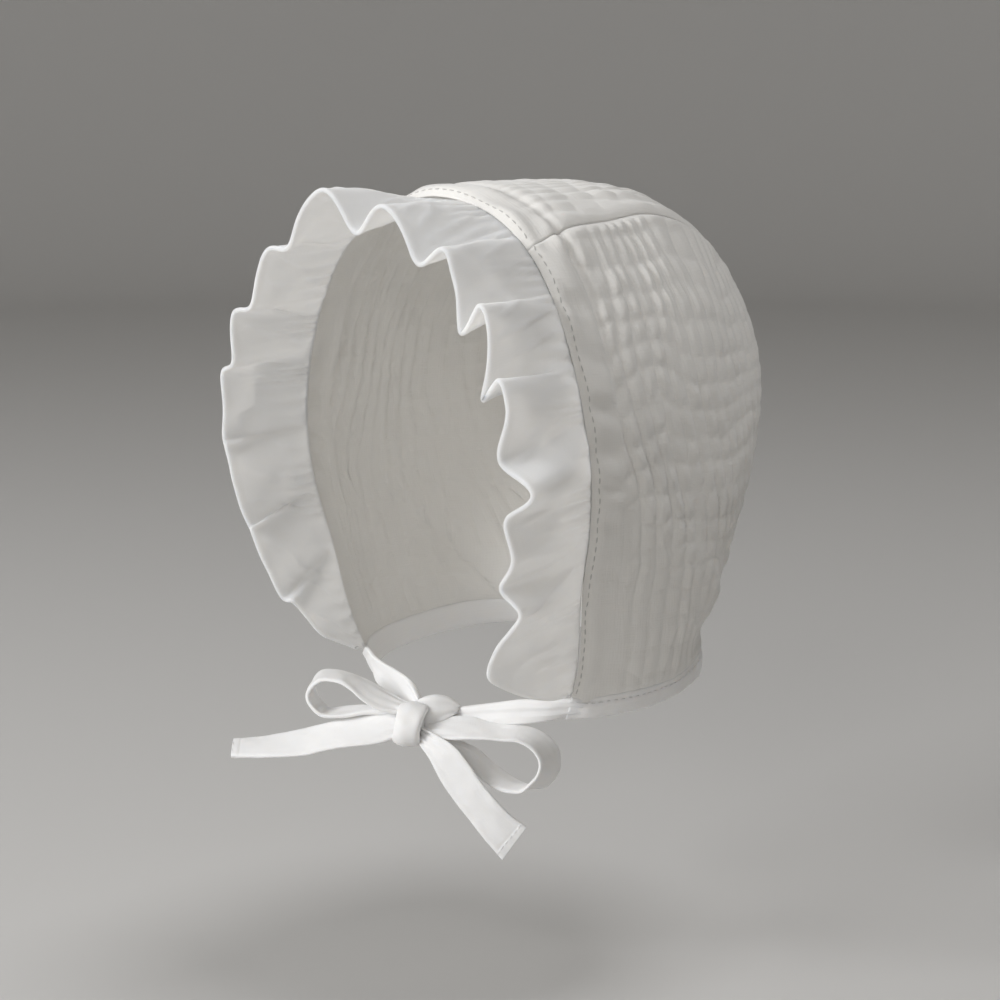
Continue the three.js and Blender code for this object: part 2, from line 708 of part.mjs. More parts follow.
addPiece("centre_panel", centrePanel());
addPiece("side_panel_left", sidePanel(1));
addPiece("side_panel_right", sidePanel(-1));
addPiece("ruffle", ruffle());
addPiece("neck_binding", neckBinding());
addPiece("bow_knot", knot());
addPiece("tie_left", tie(1, LEFT_TIE_EXIT));
addPiece("tie_right", tie(-1, RIGHT_TIE_EXIT));
for (const [name, ribbonParts] of Object.entries(BOW)) {
  addPiece(name, bowRibbon(ribbonParts));
}

export default bonnet;
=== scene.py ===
# %% [markdown]
# # A baby bonnet in white double gauze
#
# The bonnet keeps the shape it has when worn: a soft hood of three gauze panels, a fluted ruffle
# round the face, a binding along the neck edge, and two ties that end in a bow. Everything is
# cloth, so nearly every piece is a surface worked out from a rule, and the folds, the crinkle and
# the stitches are added to that surface. The solids of the construction model come in first. They
# say where each piece sits, and each cloth piece replaces the solid that it dresses.

# %% Load the frame
import math

import bmesh
import bpy
import numpy as np
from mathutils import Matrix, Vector
from mathutils.bvhtree import BVHTree


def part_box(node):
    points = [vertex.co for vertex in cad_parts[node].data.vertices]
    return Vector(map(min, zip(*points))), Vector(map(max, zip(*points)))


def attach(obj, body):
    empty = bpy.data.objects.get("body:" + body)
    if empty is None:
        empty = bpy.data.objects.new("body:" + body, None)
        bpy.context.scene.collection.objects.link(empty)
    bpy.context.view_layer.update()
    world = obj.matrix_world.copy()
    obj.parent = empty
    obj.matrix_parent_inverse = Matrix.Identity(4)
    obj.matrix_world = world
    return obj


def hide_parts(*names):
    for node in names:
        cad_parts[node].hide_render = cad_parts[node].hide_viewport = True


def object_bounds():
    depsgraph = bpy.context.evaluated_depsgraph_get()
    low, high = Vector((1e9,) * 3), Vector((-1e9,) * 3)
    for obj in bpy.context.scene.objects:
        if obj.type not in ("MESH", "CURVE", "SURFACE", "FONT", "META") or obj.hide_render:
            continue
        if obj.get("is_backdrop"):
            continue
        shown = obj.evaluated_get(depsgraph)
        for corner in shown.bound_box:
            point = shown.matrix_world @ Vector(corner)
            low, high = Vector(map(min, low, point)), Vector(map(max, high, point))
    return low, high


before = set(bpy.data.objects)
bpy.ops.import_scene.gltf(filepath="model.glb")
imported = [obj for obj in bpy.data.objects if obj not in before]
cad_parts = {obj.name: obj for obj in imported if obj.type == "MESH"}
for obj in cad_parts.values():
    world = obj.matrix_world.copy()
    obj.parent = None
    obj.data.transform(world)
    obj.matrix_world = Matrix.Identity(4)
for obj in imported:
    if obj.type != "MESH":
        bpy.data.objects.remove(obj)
CAD_BOX = [list(corner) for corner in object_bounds()]
MM = 0.001
print("the solids reach from", CAD_BOX[0], "to", CAD_BOX[1])


def add_object(name, data):
    """A new object in the scene."""
    made = bpy.data.objects.new(name, data)
    bpy.context.collection.objects.link(made)
    return made


# %% [markdown]
# ## Camera
#
# The camera looks a little down on the bonnet from the wearer's left front. A long lens from under
# a metre keeps the hood's far side only slightly smaller than its near side. The lens follows from
# the distance and from how large the bonnet is in the picture.

# %% Camera
AZIMUTH = math.radians(43.6)
ELEVATION = math.radians(10)
CAMERA_DISTANCE = 0.848
PICTURE_SCALE = 3100  # pixels for a metre at the target
PICTURE_SIZE = 1000
SENSOR = 36
LOOK_AT = Vector((0, -0.009, -0.1003))

backwards = Vector((
    math.sin(AZIMUTH) * math.cos(ELEVATION),
    -math.cos(AZIMUTH) * math.cos(ELEVATION),
    math.sin(ELEVATION),
))
camera_data = bpy.data.cameras.new("camera")
camera_data.sensor_width = SENSOR
camera_data.lens = SENSOR * PICTURE_SCALE * CAMERA_DISTANCE / PICTURE_SIZE
camera = add_object("camera", camera_data)
camera.location = LOOK_AT + CAMERA_DISTANCE * backwards
camera.rotation_euler = backwards.to_track_quat("Z", "Y").to_euler()
bpy.context.scene.camera = camera
print("lens", round(camera_data.lens, 1), "mm")

# %% [markdown]
# ## The hood as a surface
#
# A worn hood is close to a superellipse across and to a free curve seen from the side. So one rule
# gives every point of it: the side outline, shrunk towards the ears the further a point lies from
# the middle. All three panels are cut from this one surface, which keeps their seams together.
# Lengths here are millimetres from the middle of the hood at ear level. Over the nape the soft
# cloth hangs in a little, which one more rule takes from the surface.

# %% Hood sizes
HOOD_WIDTH = 137
CROWN_RISE = 100
BACK_REACH = 82
SQUARENESS = 2.3
EAR_LEVEL = -98.8
SEAM_REACH_TOP = 37
SEAM_REACH_EAR = 34.5
SEAM_REACH_CORNER = 24.5
CORNER_DROP = 63.5
NAPE_DROP = 55.5
NAPE_SHARE = 0.66
NECK_CENTRE_SHARE = 0.18
BINDING_DEPTH = 7.5
PANEL_WIDTH_BROW = 78
PANEL_WIDTH_NAPE = 48
PANEL_BROW_ANGLE = math.radians(115)
PANEL_NAPE_ANGLE = math.radians(-45)
HALF_WIDTH = HOOD_WIDTH / 2
NAPE_DENT = 6.2
NAPE_DENT_DROP = 43
NAPE_DENT_REACH = 12.5

# The middle line seen from the side: (behind, above) as shares of BACK_REACH and CROWN_RISE
OUTLINE = [
    (0, -0.975), (0.54, -0.8), (0.66, -0.59), (0.632, -0.43), (0.69, -0.27), (0.81, -0.1),
    (0.94, 0.136), (1, 0.46), (0.875, 0.72), (0.635, 0.905), (0.33, 0.995), (0, 1),
    (-0.317, 0.995), (-0.62, 0.91), (-0.975, 0.46), (-0.83, 0), (-0.62, -0.295), (-0.44, -0.66),
]


# %% Hood rule
def cubic(before, start, end, after, share, gaps=(1, 1, 1)):
    """A smooth value from start to end, with slopes from the values before and after."""
    first = (end - before) / (gaps[0] + gaps[1]) * gaps[1]
    last = (after - start) / (gaps[1] + gaps[2]) * gaps[1]
    bend = 2 * (start - end) + first + last
    lean = 3 * (end - start) - 2 * first - last
    return ((bend * share + lean) * share + first) * share + start


def joined(*parts):
    """Places or map values from their parts, which may differ in shape."""
    return np.stack(np.broadcast_arrays(*parts), -1)


def from_below(angle):
    return np.mod(angle + math.pi / 2, 2 * math.pi)


knot_angles = from_below(np.array([math.atan2(above, behind) for behind, above in OUTLINE]))
knot_order = np.argsort(knot_angles)
knot_angles = knot_angles[knot_order]
knot_reaches = np.array([math.hypot(*row) for row in OUTLINE])[knot_order]


def outline_reach(angle):
    """How far the side outline reaches from the ears, at an angle upwards from the back."""
    count = len(knot_angles)
    place = from_below(np.asarray(angle, float))
    index = np.searchsorted(knot_angles, place, side="right") - 1
    rows = [index + offset for offset in (-1, 0, 1, 2)]
    angles = [knot_angles[row % count] + 2 * math.pi * (row // count) for row in rows]
    reaches = [knot_reaches[row % count] for row in rows]
    gaps = [angles[1] - angles[0], angles[2] - angles[1], angles[3] - angles[2]]
    return cubic(*reaches, (place - angles[1]) / gaps[1], gaps)


def shrink_at(x):
    share = np.abs(x) / HALF_WIDTH
    return np.maximum(0, 1 - share**SQUARENESS) ** (1 / SQUARENESS)


def side_view(angle, reach):
    """How far behind the ears and how high above them, at an angle and reach seen from the side."""
    return reach * np.cos(angle) * BACK_REACH, reach * np.sin(angle) * CROWN_RISE


def side_point(angle, reach, side=1):
    """The point of the hood that is seen from the side at an angle and reach."""
    y, z = side_view(angle, reach)
    x = side * HALF_WIDTH * shrink_at(HALF_WIDTH * reach / outline_reach(angle))
    return joined(x, y, z)


def hood_point(angle, x):
    y, z = side_view(angle, outline_reach(angle) * shrink_at(x))
    return joined(x, y, z)


def hood_field(points):
    """Below 0 inside the hood, 0 on its face, above 0 outside."""
    x, y, z = np.moveaxis(points, -1, 0)
    angle = np.arctan2(z / CROWN_RISE, y / BACK_REACH)
    share = np.hypot(y / BACK_REACH, z / CROWN_RISE) / outline_reach(angle)
    return (np.abs(x) / HALF_WIDTH) ** SQUARENESS + share**SQUARENESS - 1


def unit(vectors):
    return vectors / np.maximum(np.linalg.norm(vectors, axis=-1, keepdims=True), 1e-12)


def hood_normal(points, probe=0.4):
    steps = probe * np.eye(3)
    slopes = [hood_field(points + step) - hood_field(points - step) for step in steps]
    return unit(np.stack(slopes, -1))


seam_line = np.polyfit(
    [CROWN_RISE, 0, -CORNER_DROP],
    [SEAM_REACH_TOP, SEAM_REACH_EAR, SEAM_REACH_CORNER],
    2,
)


def seam_reach(z):
    return np.polyval(seam_line, z)


def neck_level(y):
    share = (y + SEAM_REACH_CORNER) / (NAPE_SHARE * BACK_REACH + SEAM_REACH_CORNER)
    return -(CORNER_DROP + (NAPE_DROP - CORNER_DROP) * share)


def panel_half_width(angle):
    share = np.clip((PANEL_BROW_ANGLE - angle) / (PANEL_BROW_ANGLE - PANEL_NAPE_ANGLE), 0, 1)
    return (PANEL_WIDTH_BROW + (PANEL_WIDTH_NAPE - PANEL_WIDTH_BROW) * share) / 2


def ramp(value, low, high):
    """0 below low, 1 above high, and smooth between them."""
    share = np.clip((value - low) / (high - low), 0, 1)
    return share * share * (3 - 2 * share)


def bell(distance, width):
    """1 at no distance, and softly down to 0 past the width."""
    return np.exp(-((distance / width) ** 2))


def last_holding(test, low, high):
    """The values between low and high at which test stops holding, all at once."""
    low = np.array(low, float)
    high = np.array(high, float)
    for _ in range(40):
        middle = (low + high) / 2
        holds = test(middle)
        low = np.where(holds, middle, low)
        high = np.where(holds, high, middle)
    return low


def nape_dent(points):
    """How far the cloth hangs in over the nape and behind the ears."""
    level = bell(points[..., 2] + NAPE_DENT_DROP, NAPE_DENT_REACH)
    return NAPE_DENT * level * ramp(points[..., 1], 2, 36)


crown_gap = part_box("centre_panel")[1].z / MM - (hood_point(math.radians(100), 0)[2] + EAR_LEVEL)
print("the rule's crown and the solid's crown differ by", round(float(crown_gap), 2), "mm")

# %% [markdown]
# ## Cloth helpers
#
# A piece of cloth is a grid of points. One helper turns a grid into a mesh with a texture map in
# metres, so that a weave has the same scale on every piece. Another makes smooth random hills from
# a fixed seed, which serve for crinkles, puckers and slack. The rest are small shapes that repeat.


# %% Mesh and noise helpers
def noise(across, along, seed):
    """Smooth random hills between -1 and 1, about one for each unit across and along."""
    table = np.random.default_rng(seed).uniform(-1, 1, (256, 256))
    column = np.floor(across).astype(int)
    row = np.floor(along).astype(int)
    a = across - column
    b = along - row
    a = a * a * (3 - 2 * a)
    b = b * b * (3 - 2 * b)
    corner = lambda c, r: table[(column + c) % 256, (row + r) % 256]
    near = corner(0, 0) * (1 - a) + corner(1, 0) * a
    far = corner(0, 1) * (1 - a) + corner(1, 1) * a
    return near * (1 - b) + far * b


def grid_faces(rows, columns, wrap=False):
    """Faces between neighbouring points of a grid. With wrap, each row closes on itself."""
    index = np.arange(rows * columns).reshape(rows, columns)
    if wrap:
        index = np.hstack([index, index[:, :1]])
    corners = [index[:-1, :-1], index[:-1, 1:], index[1:, 1:], index[1:, :-1]]
    return np.stack([corner.ravel() for corner in corners], -1).tolist()


def tube_faces(rings, corners):
    """Faces of a closed tube: its sides and its two ends."""
    last = (rings - 1) * corners
    ends = [list(range(corners))[::-1], list(range(last, last + corners))]
    return grid_faces(rings, corners, wrap=True) + ends


def full_turn(count):
    """Angles once round a section, as one row."""
    return np.linspace(0, 2 * math.pi, count, endpoint=False)[None, :]


def length_along(points):
    """The length of a line from its first point to each of its points."""
    steps = np.linalg.norm(np.diff(points, axis=0), axis=1)
    return np.concatenate([[0], np.cumsum(steps)])


def squarer(wave, power):
    """A wave with fuller bends, which turns a round section into a flat one with round sides."""
    return np.sign(wave) * np.abs(wave) ** power


def cloth_mesh(name, points, faces, cloth_map, material):
    """A smooth mesh from points and from the map that the weave follows, both in millimetres."""
    mesh = bpy.data.meshes.new(name)
    placed = points.reshape(-1, 3) * MM
    placed[:, 2] += EAR_LEVEL * MM
    mesh.from_pydata(placed.tolist(), [], faces)
    layer = mesh.uv_layers.new(name="cloth")
    corners = np.empty(len(mesh.loops), int)
    mesh.loops.foreach_get("vertex_index", corners)
    layer.data.foreach_set("uv", (cloth_map.reshape(-1, 2)[corners] * MM).ravel())
    mesh.polygons.foreach_set("use_smooth", np.ones(len(mesh.polygons), bool))
    mesh.materials.append(material)
    mesh.update()
    piece = add_object(name, mesh)
    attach(piece, "root")
    return piece


def face_outwards(piece):
    """Turns a closed mesh so that its faces look outwards."""
    work = bmesh.new()
    work.from_mesh(piece.data)
    if work.calc_volume(signed=True) < 0:
        bmesh.ops.reverse_faces(work, faces=work.faces)
    work.to_mesh(piece.data)
    work.free()


def flat_area(piece):
    """The area of one layer of a closed cloth mesh, in square metres."""
    shown = piece.evaluated_get(bpy.context.evaluated_depsgraph_get())
    return sum(face.area for face in shown.data.polygons) / 2


def add_wall(piece, wall):
    """Gives an open sheet its thickness, inwards."""
    solidify = piece.modifiers.new("wall", "SOLIDIFY")
    solidify.thickness = wall * MM
    solidify.offset = -1
    bpy.context.view_layer.update()


# %% [markdown]
# ## Cloth materials
#
# White cotton is never one flat white. The thread is slightly warm, the weave makes fine relief,
# and loose fibres give a soft sheen at grazing angles. The weave is two crossed waves on the cloth
# map, with stretched noise for the thick and thin places of a thread. The open gauze has a coarse
# thread, and the ruffle and the ties have a fine, dense one. Light passes into the cloth, most of
# all into the ruffle, which stands free with light on both sides.


# %% Cotton materials
GLOW_COLOUR = (1, 0.92, 0.82)


def set_inputs(node, values):
    for key, value in values.items():
        node.inputs[key].default_value = value
    return node


def connect(tree, rows):
    """Links nodes. A row is a node, its output, another node and its input."""
    for source, output, target, entry in rows:
        tree.links.new(source.outputs[output], target.inputs[entry])


def cotton(name, colour, thread, weave_share, relief_depth, mottle, mottle_scale, glow, glow_reach):
    """A woven cotton. thread and glow_reach are in metres, mottle_scale in clouds for a metre."""
    material = bpy.data.materials.new(name)
    material.use_nodes = True
    tree = material.node_tree
    nodes = tree.nodes
    shader = set_inputs(nodes["Principled BSDF"], {
        "Roughness": 0.92,
        "Specular IOR Level": 0.25,
        "Sheen Weight": 0.35,
        "Sheen Roughness": 0.5,
        "Subsurface Weight": glow,
        "Subsurface Radius": [glow_reach * c for c in GLOW_COLOUR],
        "Subsurface Scale": 1.0,
    })

    cloth_map = nodes.new("ShaderNodeUVMap")
    cloth_map.uv_map = "cloth"
    weave = nodes.new("ShaderNodeMath")
    slubs = nodes.new("ShaderNodeMath")
    for socket, (direction, stretch) in enumerate((("X", (1, 0.09, 1)), ("Y", (0.09, 1, 1)))):
        wave = nodes.new("ShaderNodeTexWave")
        wave.bands_direction = direction
        set_inputs(wave, {"Scale": 0.314 / thread, "Distortion": 2.5})
        set_inputs(wave, {"Detail": 2, "Detail Scale": 0.7})
        lengthen = set_inputs(nodes.new("ShaderNodeMapping"), {"Scale": stretch})
        fibres = nodes.new("ShaderNodeTexNoise")
        fibres.noise_dimensions = "2D"
        set_inputs(fibres, {"Scale": 1.1 / thread, "Detail": 2})
        connect(tree, [
            (cloth_map, "UV", wave, "Vector"),
            (wave, "Fac", weave, socket),
            (cloth_map, "UV", lengthen, "Vector"),
            (lengthen, "Vector", fibres, "Vector"),
            (fibres, "Fac", slubs, socket),
        ])
    relief = set_inputs(nodes.new("ShaderNodeMath"), {1: weave_share})
    relief.operation = "MULTIPLY_ADD"
    bump = set_inputs(nodes.new("ShaderNodeBump"), {"Strength": relief_depth, "Distance": 0.0001})

    place = nodes.new("ShaderNodeTexCoord")
    clouds = set_inputs(nodes.new("ShaderNodeTexNoise"), {"Scale": mottle_scale, "Detail": 4})
    tint = nodes.new("ShaderNodeMix")
    tint.data_type = "RGBA"
    set_inputs(tint, {6: (*[c * (1 - mottle) for c in colour], 1), 7: (*colour, 1)})
    shade = nodes.new("ShaderNodeMix")
    shade.data_type = "RGBA"
    shade.blend_type = "MULTIPLY"
    set_inputs(shade, {0: 0.12 * weave_share})
    connect(tree, [
        (weave, 0, relief, 0),
        (slubs, 0, relief, 2),
        (relief, 0, bump, "Height"),
        (bump, "Normal", shader, "Normal"),
        (place, "Object", clouds, "Vector"),
        (clouds, "Fac", tint, 0),
        (tint, 2, shade, 6),
        (weave, 0, shade, 7),
        (shade, 2, shader, "Base Color"),
    ])
    return material


GAUZE = cotton(
    "gauze", (0.83, 0.815, 0.785), thread=0.0008, weave_share=0.1, relief_depth=0.8,
    mottle=0.06, mottle_scale=60, glow=0.12, glow_reach=0.001,
)
RUFFLE_COTTON = cotton(
    "ruffle_cotton", (0.87, 0.86, 0.84), thread=0.00045, weave_share=0.1, relief_depth=0.3,
    mottle=0.04, mottle_scale=50, glow=1.0, glow_reach=0.011,
)
TIE_COTTON = cotton(
    "tie_cotton", (0.86, 0.855, 0.85), thread=0.00045, weave_share=0.1, relief_depth=0.3,
    mottle=0.03, mottle_scale=80, glow=0.4, glow_reach=0.002,
)
# The seam thread is white cotton, but it is given a mid grey: painted shade of the stitch holes it
# sinks into.
THREAD_PAINTED_SHADE = cotton(
    "thread", (0.58, 0.57, 0.55), thread=0.0002, weave_share=0.2, relief_depth=0.3,
    mottle=0.04, mottle_scale=400, glow=0.0, glow_reach=0.001,
)
print("materials:", [m.name for m in (GAUZE, RUFFLE_COTTON, TIE_COTTON, THREAD_PAINTED_SHADE)])

# %% [markdown]
# ## Gauze relief
#
# Double gauze is two open cloths tacked together. Washing shrinks them into rows of small soft
# puffs. On this hood the strongest rows run along with the front seam, weaker creases cross them,
# and a smooth padded strip lies straight behind the ruffle. Lower down the cloth hangs loose in
# thin creases. Real relief, and not only a painted bump, is needed here, because it shows at the
# edges and under grazing light.

# %% Gauze relief
WALL = 1.0
RIDGE_SPACING = 6.2
PUFF_LENGTH = 8.6
RIDGE_HEIGHT = 1.65
STRIP_WIDTH = 13
STRIP_HEIGHT = 1.5
STRIP_GROOVE = 1.1
PINCH_SPACING = 15
SEAM_DIP = 0.6
SEAM_ROLL = 0.9
SEAM_RIDGE = 1.2
SEAM_RIDGE_WIDTH = 9
SLACK_HEIGHT = 0.7
SIDE_SWELL = 1.1
CENTRE_SWELL = 0.9
TOPSTITCH_BEHIND = 1.2
STRIP_SEED = 21


def crinkle(across, along, seed):
    """Rows of small puffs across, each row broken up along its length. About -0.5 to 0.8."""
    drift = noise(across / 26, along / 44, seed)
    drift = drift + 0.16 * noise(across / 8, along / 13, seed + 1)
    row = across / RIDGE_SPACING + drift
    place = along / PUFF_LENGTH + 0.6 * noise(across / 28, along / 24, seed + 2)
    place = place + 0.16 * noise(across / 6, along / 12, seed + 3)
    puffs = np.abs(np.sin(math.pi * row)) ** 0.7
    ends = np.abs(np.sin(math.pi * place)) ** 0.7
    strength = 0.8 + 0.5 * noise(across / 7, along / 9, seed + 4)
    split = ramp(noise(across / 9, along / 14, seed + 7), -0.1, 0.5)
    half_rows = 0.22 * np.abs(np.sin(2 * math.pi * row + 0.7)) * split
    fine = noise(across / 2.6, along / 3.4, seed + 5)
    slow = noise(across / 13, along / 16, seed + 6)
    return strength * (puffs * (0.35 + 0.65 * ends) - 0.4) - half_rows + 0.1 * fine + 0.25 * slow


def slack_creases(across, along, seed):
    """Thin raised creases that wander down the cloth where it hangs loose. 0 to 1."""
    wander = across / 7.5 + 0.5 * noise(across / 30, along / 20, seed)
    lines = 1 - 3.2 * np.abs(noise(wander, along / 24, seed + 1))
    return np.maximum(0, lines) ** 1.5 * (0.6 + 0.4 * noise(across / 12, along / 11, seed + 2))


def strip_relief(behind, along, seed):
    """The padded strip behind the ruffle: how high it stands at a distance behind the seam."""
    share = np.clip(behind / STRIP_WIDTH, 0, 1)
    place = along / PINCH_SPACING + 0.8 * noise(along / 31, 0, seed + 1)
    place = place + 0.25 * behind / STRIP_WIDTH
    pinch = 1 - 0.8 * np.abs(np.cos(math.pi * place)) ** 4
    pinch = pinch * (1 + 0.7 * noise(behind / 8, along / 8, seed))
    padded = STRIP_HEIGHT * np.sin(math.pi * share) ** 1.1 * pinch * (behind < STRIP_WIDTH)
    groove = bell(behind - 1.08 * STRIP_WIDTH, 1.7)
    groove = groove * (0.7 + 0.5 * noise(along / 7, behind / 9, seed + 2))
    return (padded - STRIP_GROOVE * groove) * (0.2 + 0.8 * ramp(along, -35, 45))


def seam_dip(distance):
    """How deep a panel's edge rolls down into its seam."""
    return SEAM_DIP * bell(distance, SEAM_ROLL) - 0.35 * bell(distance - 3.2, 2.2)


def topstitch_dip(behind):
    return 0.3 * bell(behind - TOPSTITCH_BEHIND, 0.6)


def gauze_panel(name, points, relief, behind, across, along, flipped=False):
    """A part of the hood's face, raised by its relief, with a wall inwards."""
    relief = relief - (topstitch_dip(behind) + nape_dent(points))
    points = points + hood_normal(points) * relief[..., None]
    faces = grid_faces(*points.shape[:2])
    if flipped:
        faces = [face[::-1] for face in faces]
    piece = cloth_mesh(name, points, faces, joined(across, along), GAUZE)
    add_wall(piece, WALL)
    return piece


# %% [markdown]
# ## Side panels
#
# A side panel is a rounded shape with three corners: the brow, the neck's front corner and the
# nape. A fan of triangles from its middle would crowd them at the ear. A square grid squeezed onto
# the panel keeps all faces about equally large, and its border still lands on the three seams.

# %% Side panel
PANEL_GRID = 186
FRONT_SHARE = 1 / 4
NECK_SHARE = 1 / 8
TUCK = 1.4


def panel_bottom(y):
    return neck_level(y) + BINDING_DEPTH - TUCK


def centre_point(angle, share):
    """A point of the centre panel, at a share of its half width."""
    return hood_point(angle, share * panel_half_width(angle))


def brow_angle(share):
    """The angle at which the centre panel meets the ruffle's seam."""
    def behind_seam(angle):
        point = centre_point(angle, share)
        return point[..., 1] > -seam_reach(point[..., 2])

    return last_holding(behind_seam, 0 * share + math.pi / 2, 0 * share + 0.8 * math.pi)


def nape_angle(share):
    """The angle at which the centre panel goes into the binding."""
    def above_neck(angle):
        point = centre_point(-angle, share)
        return point[..., 2] > panel_bottom(point[..., 1])

    return -last_holding(above_neck, 0 * share, 0 * share + 0.4 * math.pi)


def square_grid(count):
    """A square grid as a radius from 0 to 1 and a place from 0 to 1 along the square's border."""
    line = np.linspace(-1, 1, count + 1)
    a, b = np.meshgrid(line, line, indexing="ij")
    radius = np.maximum(np.abs(a), np.abs(b))
    safe = np.maximum(radius, 1e-9)
    sides = [
        (b >= radius, (1 - a / safe) / 2),
        (a <= -radius, 1 + (1 - b / safe) / 2),
        (b <= -radius, 2 + (1 + a / safe) / 2),
        (a >= radius, 3 + (1 + b / safe) / 2),
    ]
    place = np.select([test for test, _ in sides], [value for _, value in sides])
    return radius, np.mod(place / 4, 1)


def side_panel(name, side, seed):
    brow = float(brow_angle(1))
    nape = float(nape_angle(1))
    before_seam = lambda y: seam_reach(panel_bottom(-y)) > y
    corner_y = float(last_holding(before_seam, 0, 2 * SEAM_REACH_CORNER))
    corner = math.atan2(panel_bottom(-corner_y) / CROWN_RISE, -corner_y / BACK_REACH) + 2 * math.pi

    radius, place = square_grid(PANEL_GRID)
    neck_from = FRONT_SHARE + NECK_SHARE
    angle = np.interp(
        place,
        [0, FRONT_SHARE, neck_from, 1],
        [brow, corner, nape + 2 * math.pi, brow + 2 * math.pi],
    )
    turned = np.mod(angle + math.pi, 2 * math.pi) - math.pi
    crown_rim = outline_reach(angle) * shrink_at(panel_half_width(turned))

    def on_face(reach):
        y, z = side_view(angle, reach)
        return (y > -seam_reach(z)) & (z > panel_bottom(y))

    rim = np.where(place >= neck_from, crown_rim, last_holding(on_face, 0 * angle, 1.2 + 0 * angle))
    spread = radius * (1.22 - 0.22 * radius**2)
    points = side_point(angle, spread * rim, side)
    edge = side_point(angle, rim, side)

    behind = points[..., 1] + seam_reach(points[..., 2])
    ear_line = side_point(0, np.linspace(0, 1, 200), 1)
    y = points[..., 1]
    across = np.where(y > 0, np.interp(y, ear_line[:, 1], length_along(ear_line)), y)
    across = across + seam_reach(points[..., 2])
    along = points[..., 2]
    to_rim = np.linalg.norm(points - edge, axis=-1)

    fade = 0.36 + 0.64 * ramp(-behind, -120, -25) * ramp(along, -60, 35)
    relief = RIDGE_HEIGHT * crinkle(across, along, seed) * fade
    hanging = ramp(-along, -30, 15)
    relief += SLACK_HEIGHT * slack_creases(across, along, seed + 13) * hanging
    low_back = hanging * ramp(behind, 45, 75) * ramp(-along, 10, 35)
    slanting = slack_creases(0.8 * (across - along), 0.6 * (across + along), seed + 16)
    relief += SLACK_HEIGHT * slanting * low_back
    relief = relief * ramp(behind, 0.55 * STRIP_WIDTH, 1.25 * STRIP_WIDTH) * ramp(to_rim, 0.5, 5)
    relief += strip_relief(behind, along, STRIP_SEED)
    relief += SIDE_SWELL * noise(across / 27, along / 30, seed + 11) * ramp(to_rim, 2, 16)
    past_strip = ramp(behind, 5, STRIP_WIDTH)
    ridge = np.where(place >= neck_from, SEAM_RIDGE * bell(to_rim, SEAM_RIDGE_WIDTH), 0)
    relief += ridge * past_strip
    relief -= seam_dip(behind)
    relief -= np.where(place < FRONT_SHARE, 0, seam_dip(to_rim) * past_strip)
    return gauze_panel(name, points, relief, behind, across, along, flipped=side > 0)


# %% Make the side panels
side_left = side_panel("gauze_side_left", 1, 11)
side_right = side_panel("gauze_side_right", -1, 47)
for piece, node in ((side_left, "side_panel_left"), (side_right, "side_panel_right")):
    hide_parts(node)
    area = round(flat_area(piece), 4)
    print(piece.name, "area", area, "m2")

# %% [markdown]
# ## Centre panel
#
# The centre panel is a long strip from the brow over the crown to the nape. Its rows of puffs run
# lengthwise, so the same relief is used with its ways turned.

# %% Centre panel
CENTRE_ROWS = 350
CENTRE_COLUMNS = 100


def centre_panel(name, seed):
    share = np.linspace(-1, 1, CENTRE_COLUMNS + 1)[None, :]
    brow = brow_angle(share)
    nape = nape_angle(share)
    down = np.linspace(0, 1, CENTRE_ROWS + 1)[:, None]
    angle = brow + (nape - brow) * down
    points = centre_point(angle, share)
    length = length_along(points[:, CENTRE_COLUMNS // 2])
    along = np.broadcast_to(length[:, None], angle.shape)
    across = points[..., 0]
    half = panel_half_width(angle)
    to_side = (1 - np.abs(share)) * half
    behind = points[..., 1] + seam_reach(points[..., 2])
    behind = np.where(along < length[-1] / 2, behind, 60)

    fade = 0.55 + 0.3 * noise(across / 20, along / 30, seed + 12)
    relief = RIDGE_HEIGHT * crinkle(1.25 * across, 0.7 * along, seed) * fade
    relief = relief * ramp(behind, 0.5 * STRIP_WIDTH, 1.2 * STRIP_WIDTH) * ramp(to_side, 0.5, 6)
    relief += strip_relief(behind, points[..., 2] + 0.3 * to_side, STRIP_SEED)
    relief += CENTRE_SWELL * noise(across / 26, along / 30, seed + 11) * ramp(to_side, 2, 14)
    past_strip = ramp(behind, 5, STRIP_WIDTH)
    relief += SEAM_RIDGE * bell(to_side, SEAM_RIDGE_WIDTH) * past_strip
    relief -= seam_dip(behind) + seam_dip(to_side) * past_strip
    print(name, "length", round(float(length[-1])), "mm")
    return gauze_panel(name, points, relief, behind, across, along)


centre = centre_panel("gauze_centre", 71)
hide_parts("centre_panel")
round(flat_area(centre), 4)

# %% [markdown]
# ## Ruffle
#
# The ruffle is one long doubled strip, gathered into the seam. Its free edge is the fold of the
# doubled cloth, so it is round and a little thicker. A table gives the big flutes: where each
# starts on the seam, where it ends at the edge, how far it stands away from the face, and how
# deep the ruffle is there. Smooth curves join the rows, and fine gathers are added at the seam.

# %% Ruffle table
RUFFLE_DEPTH = 36
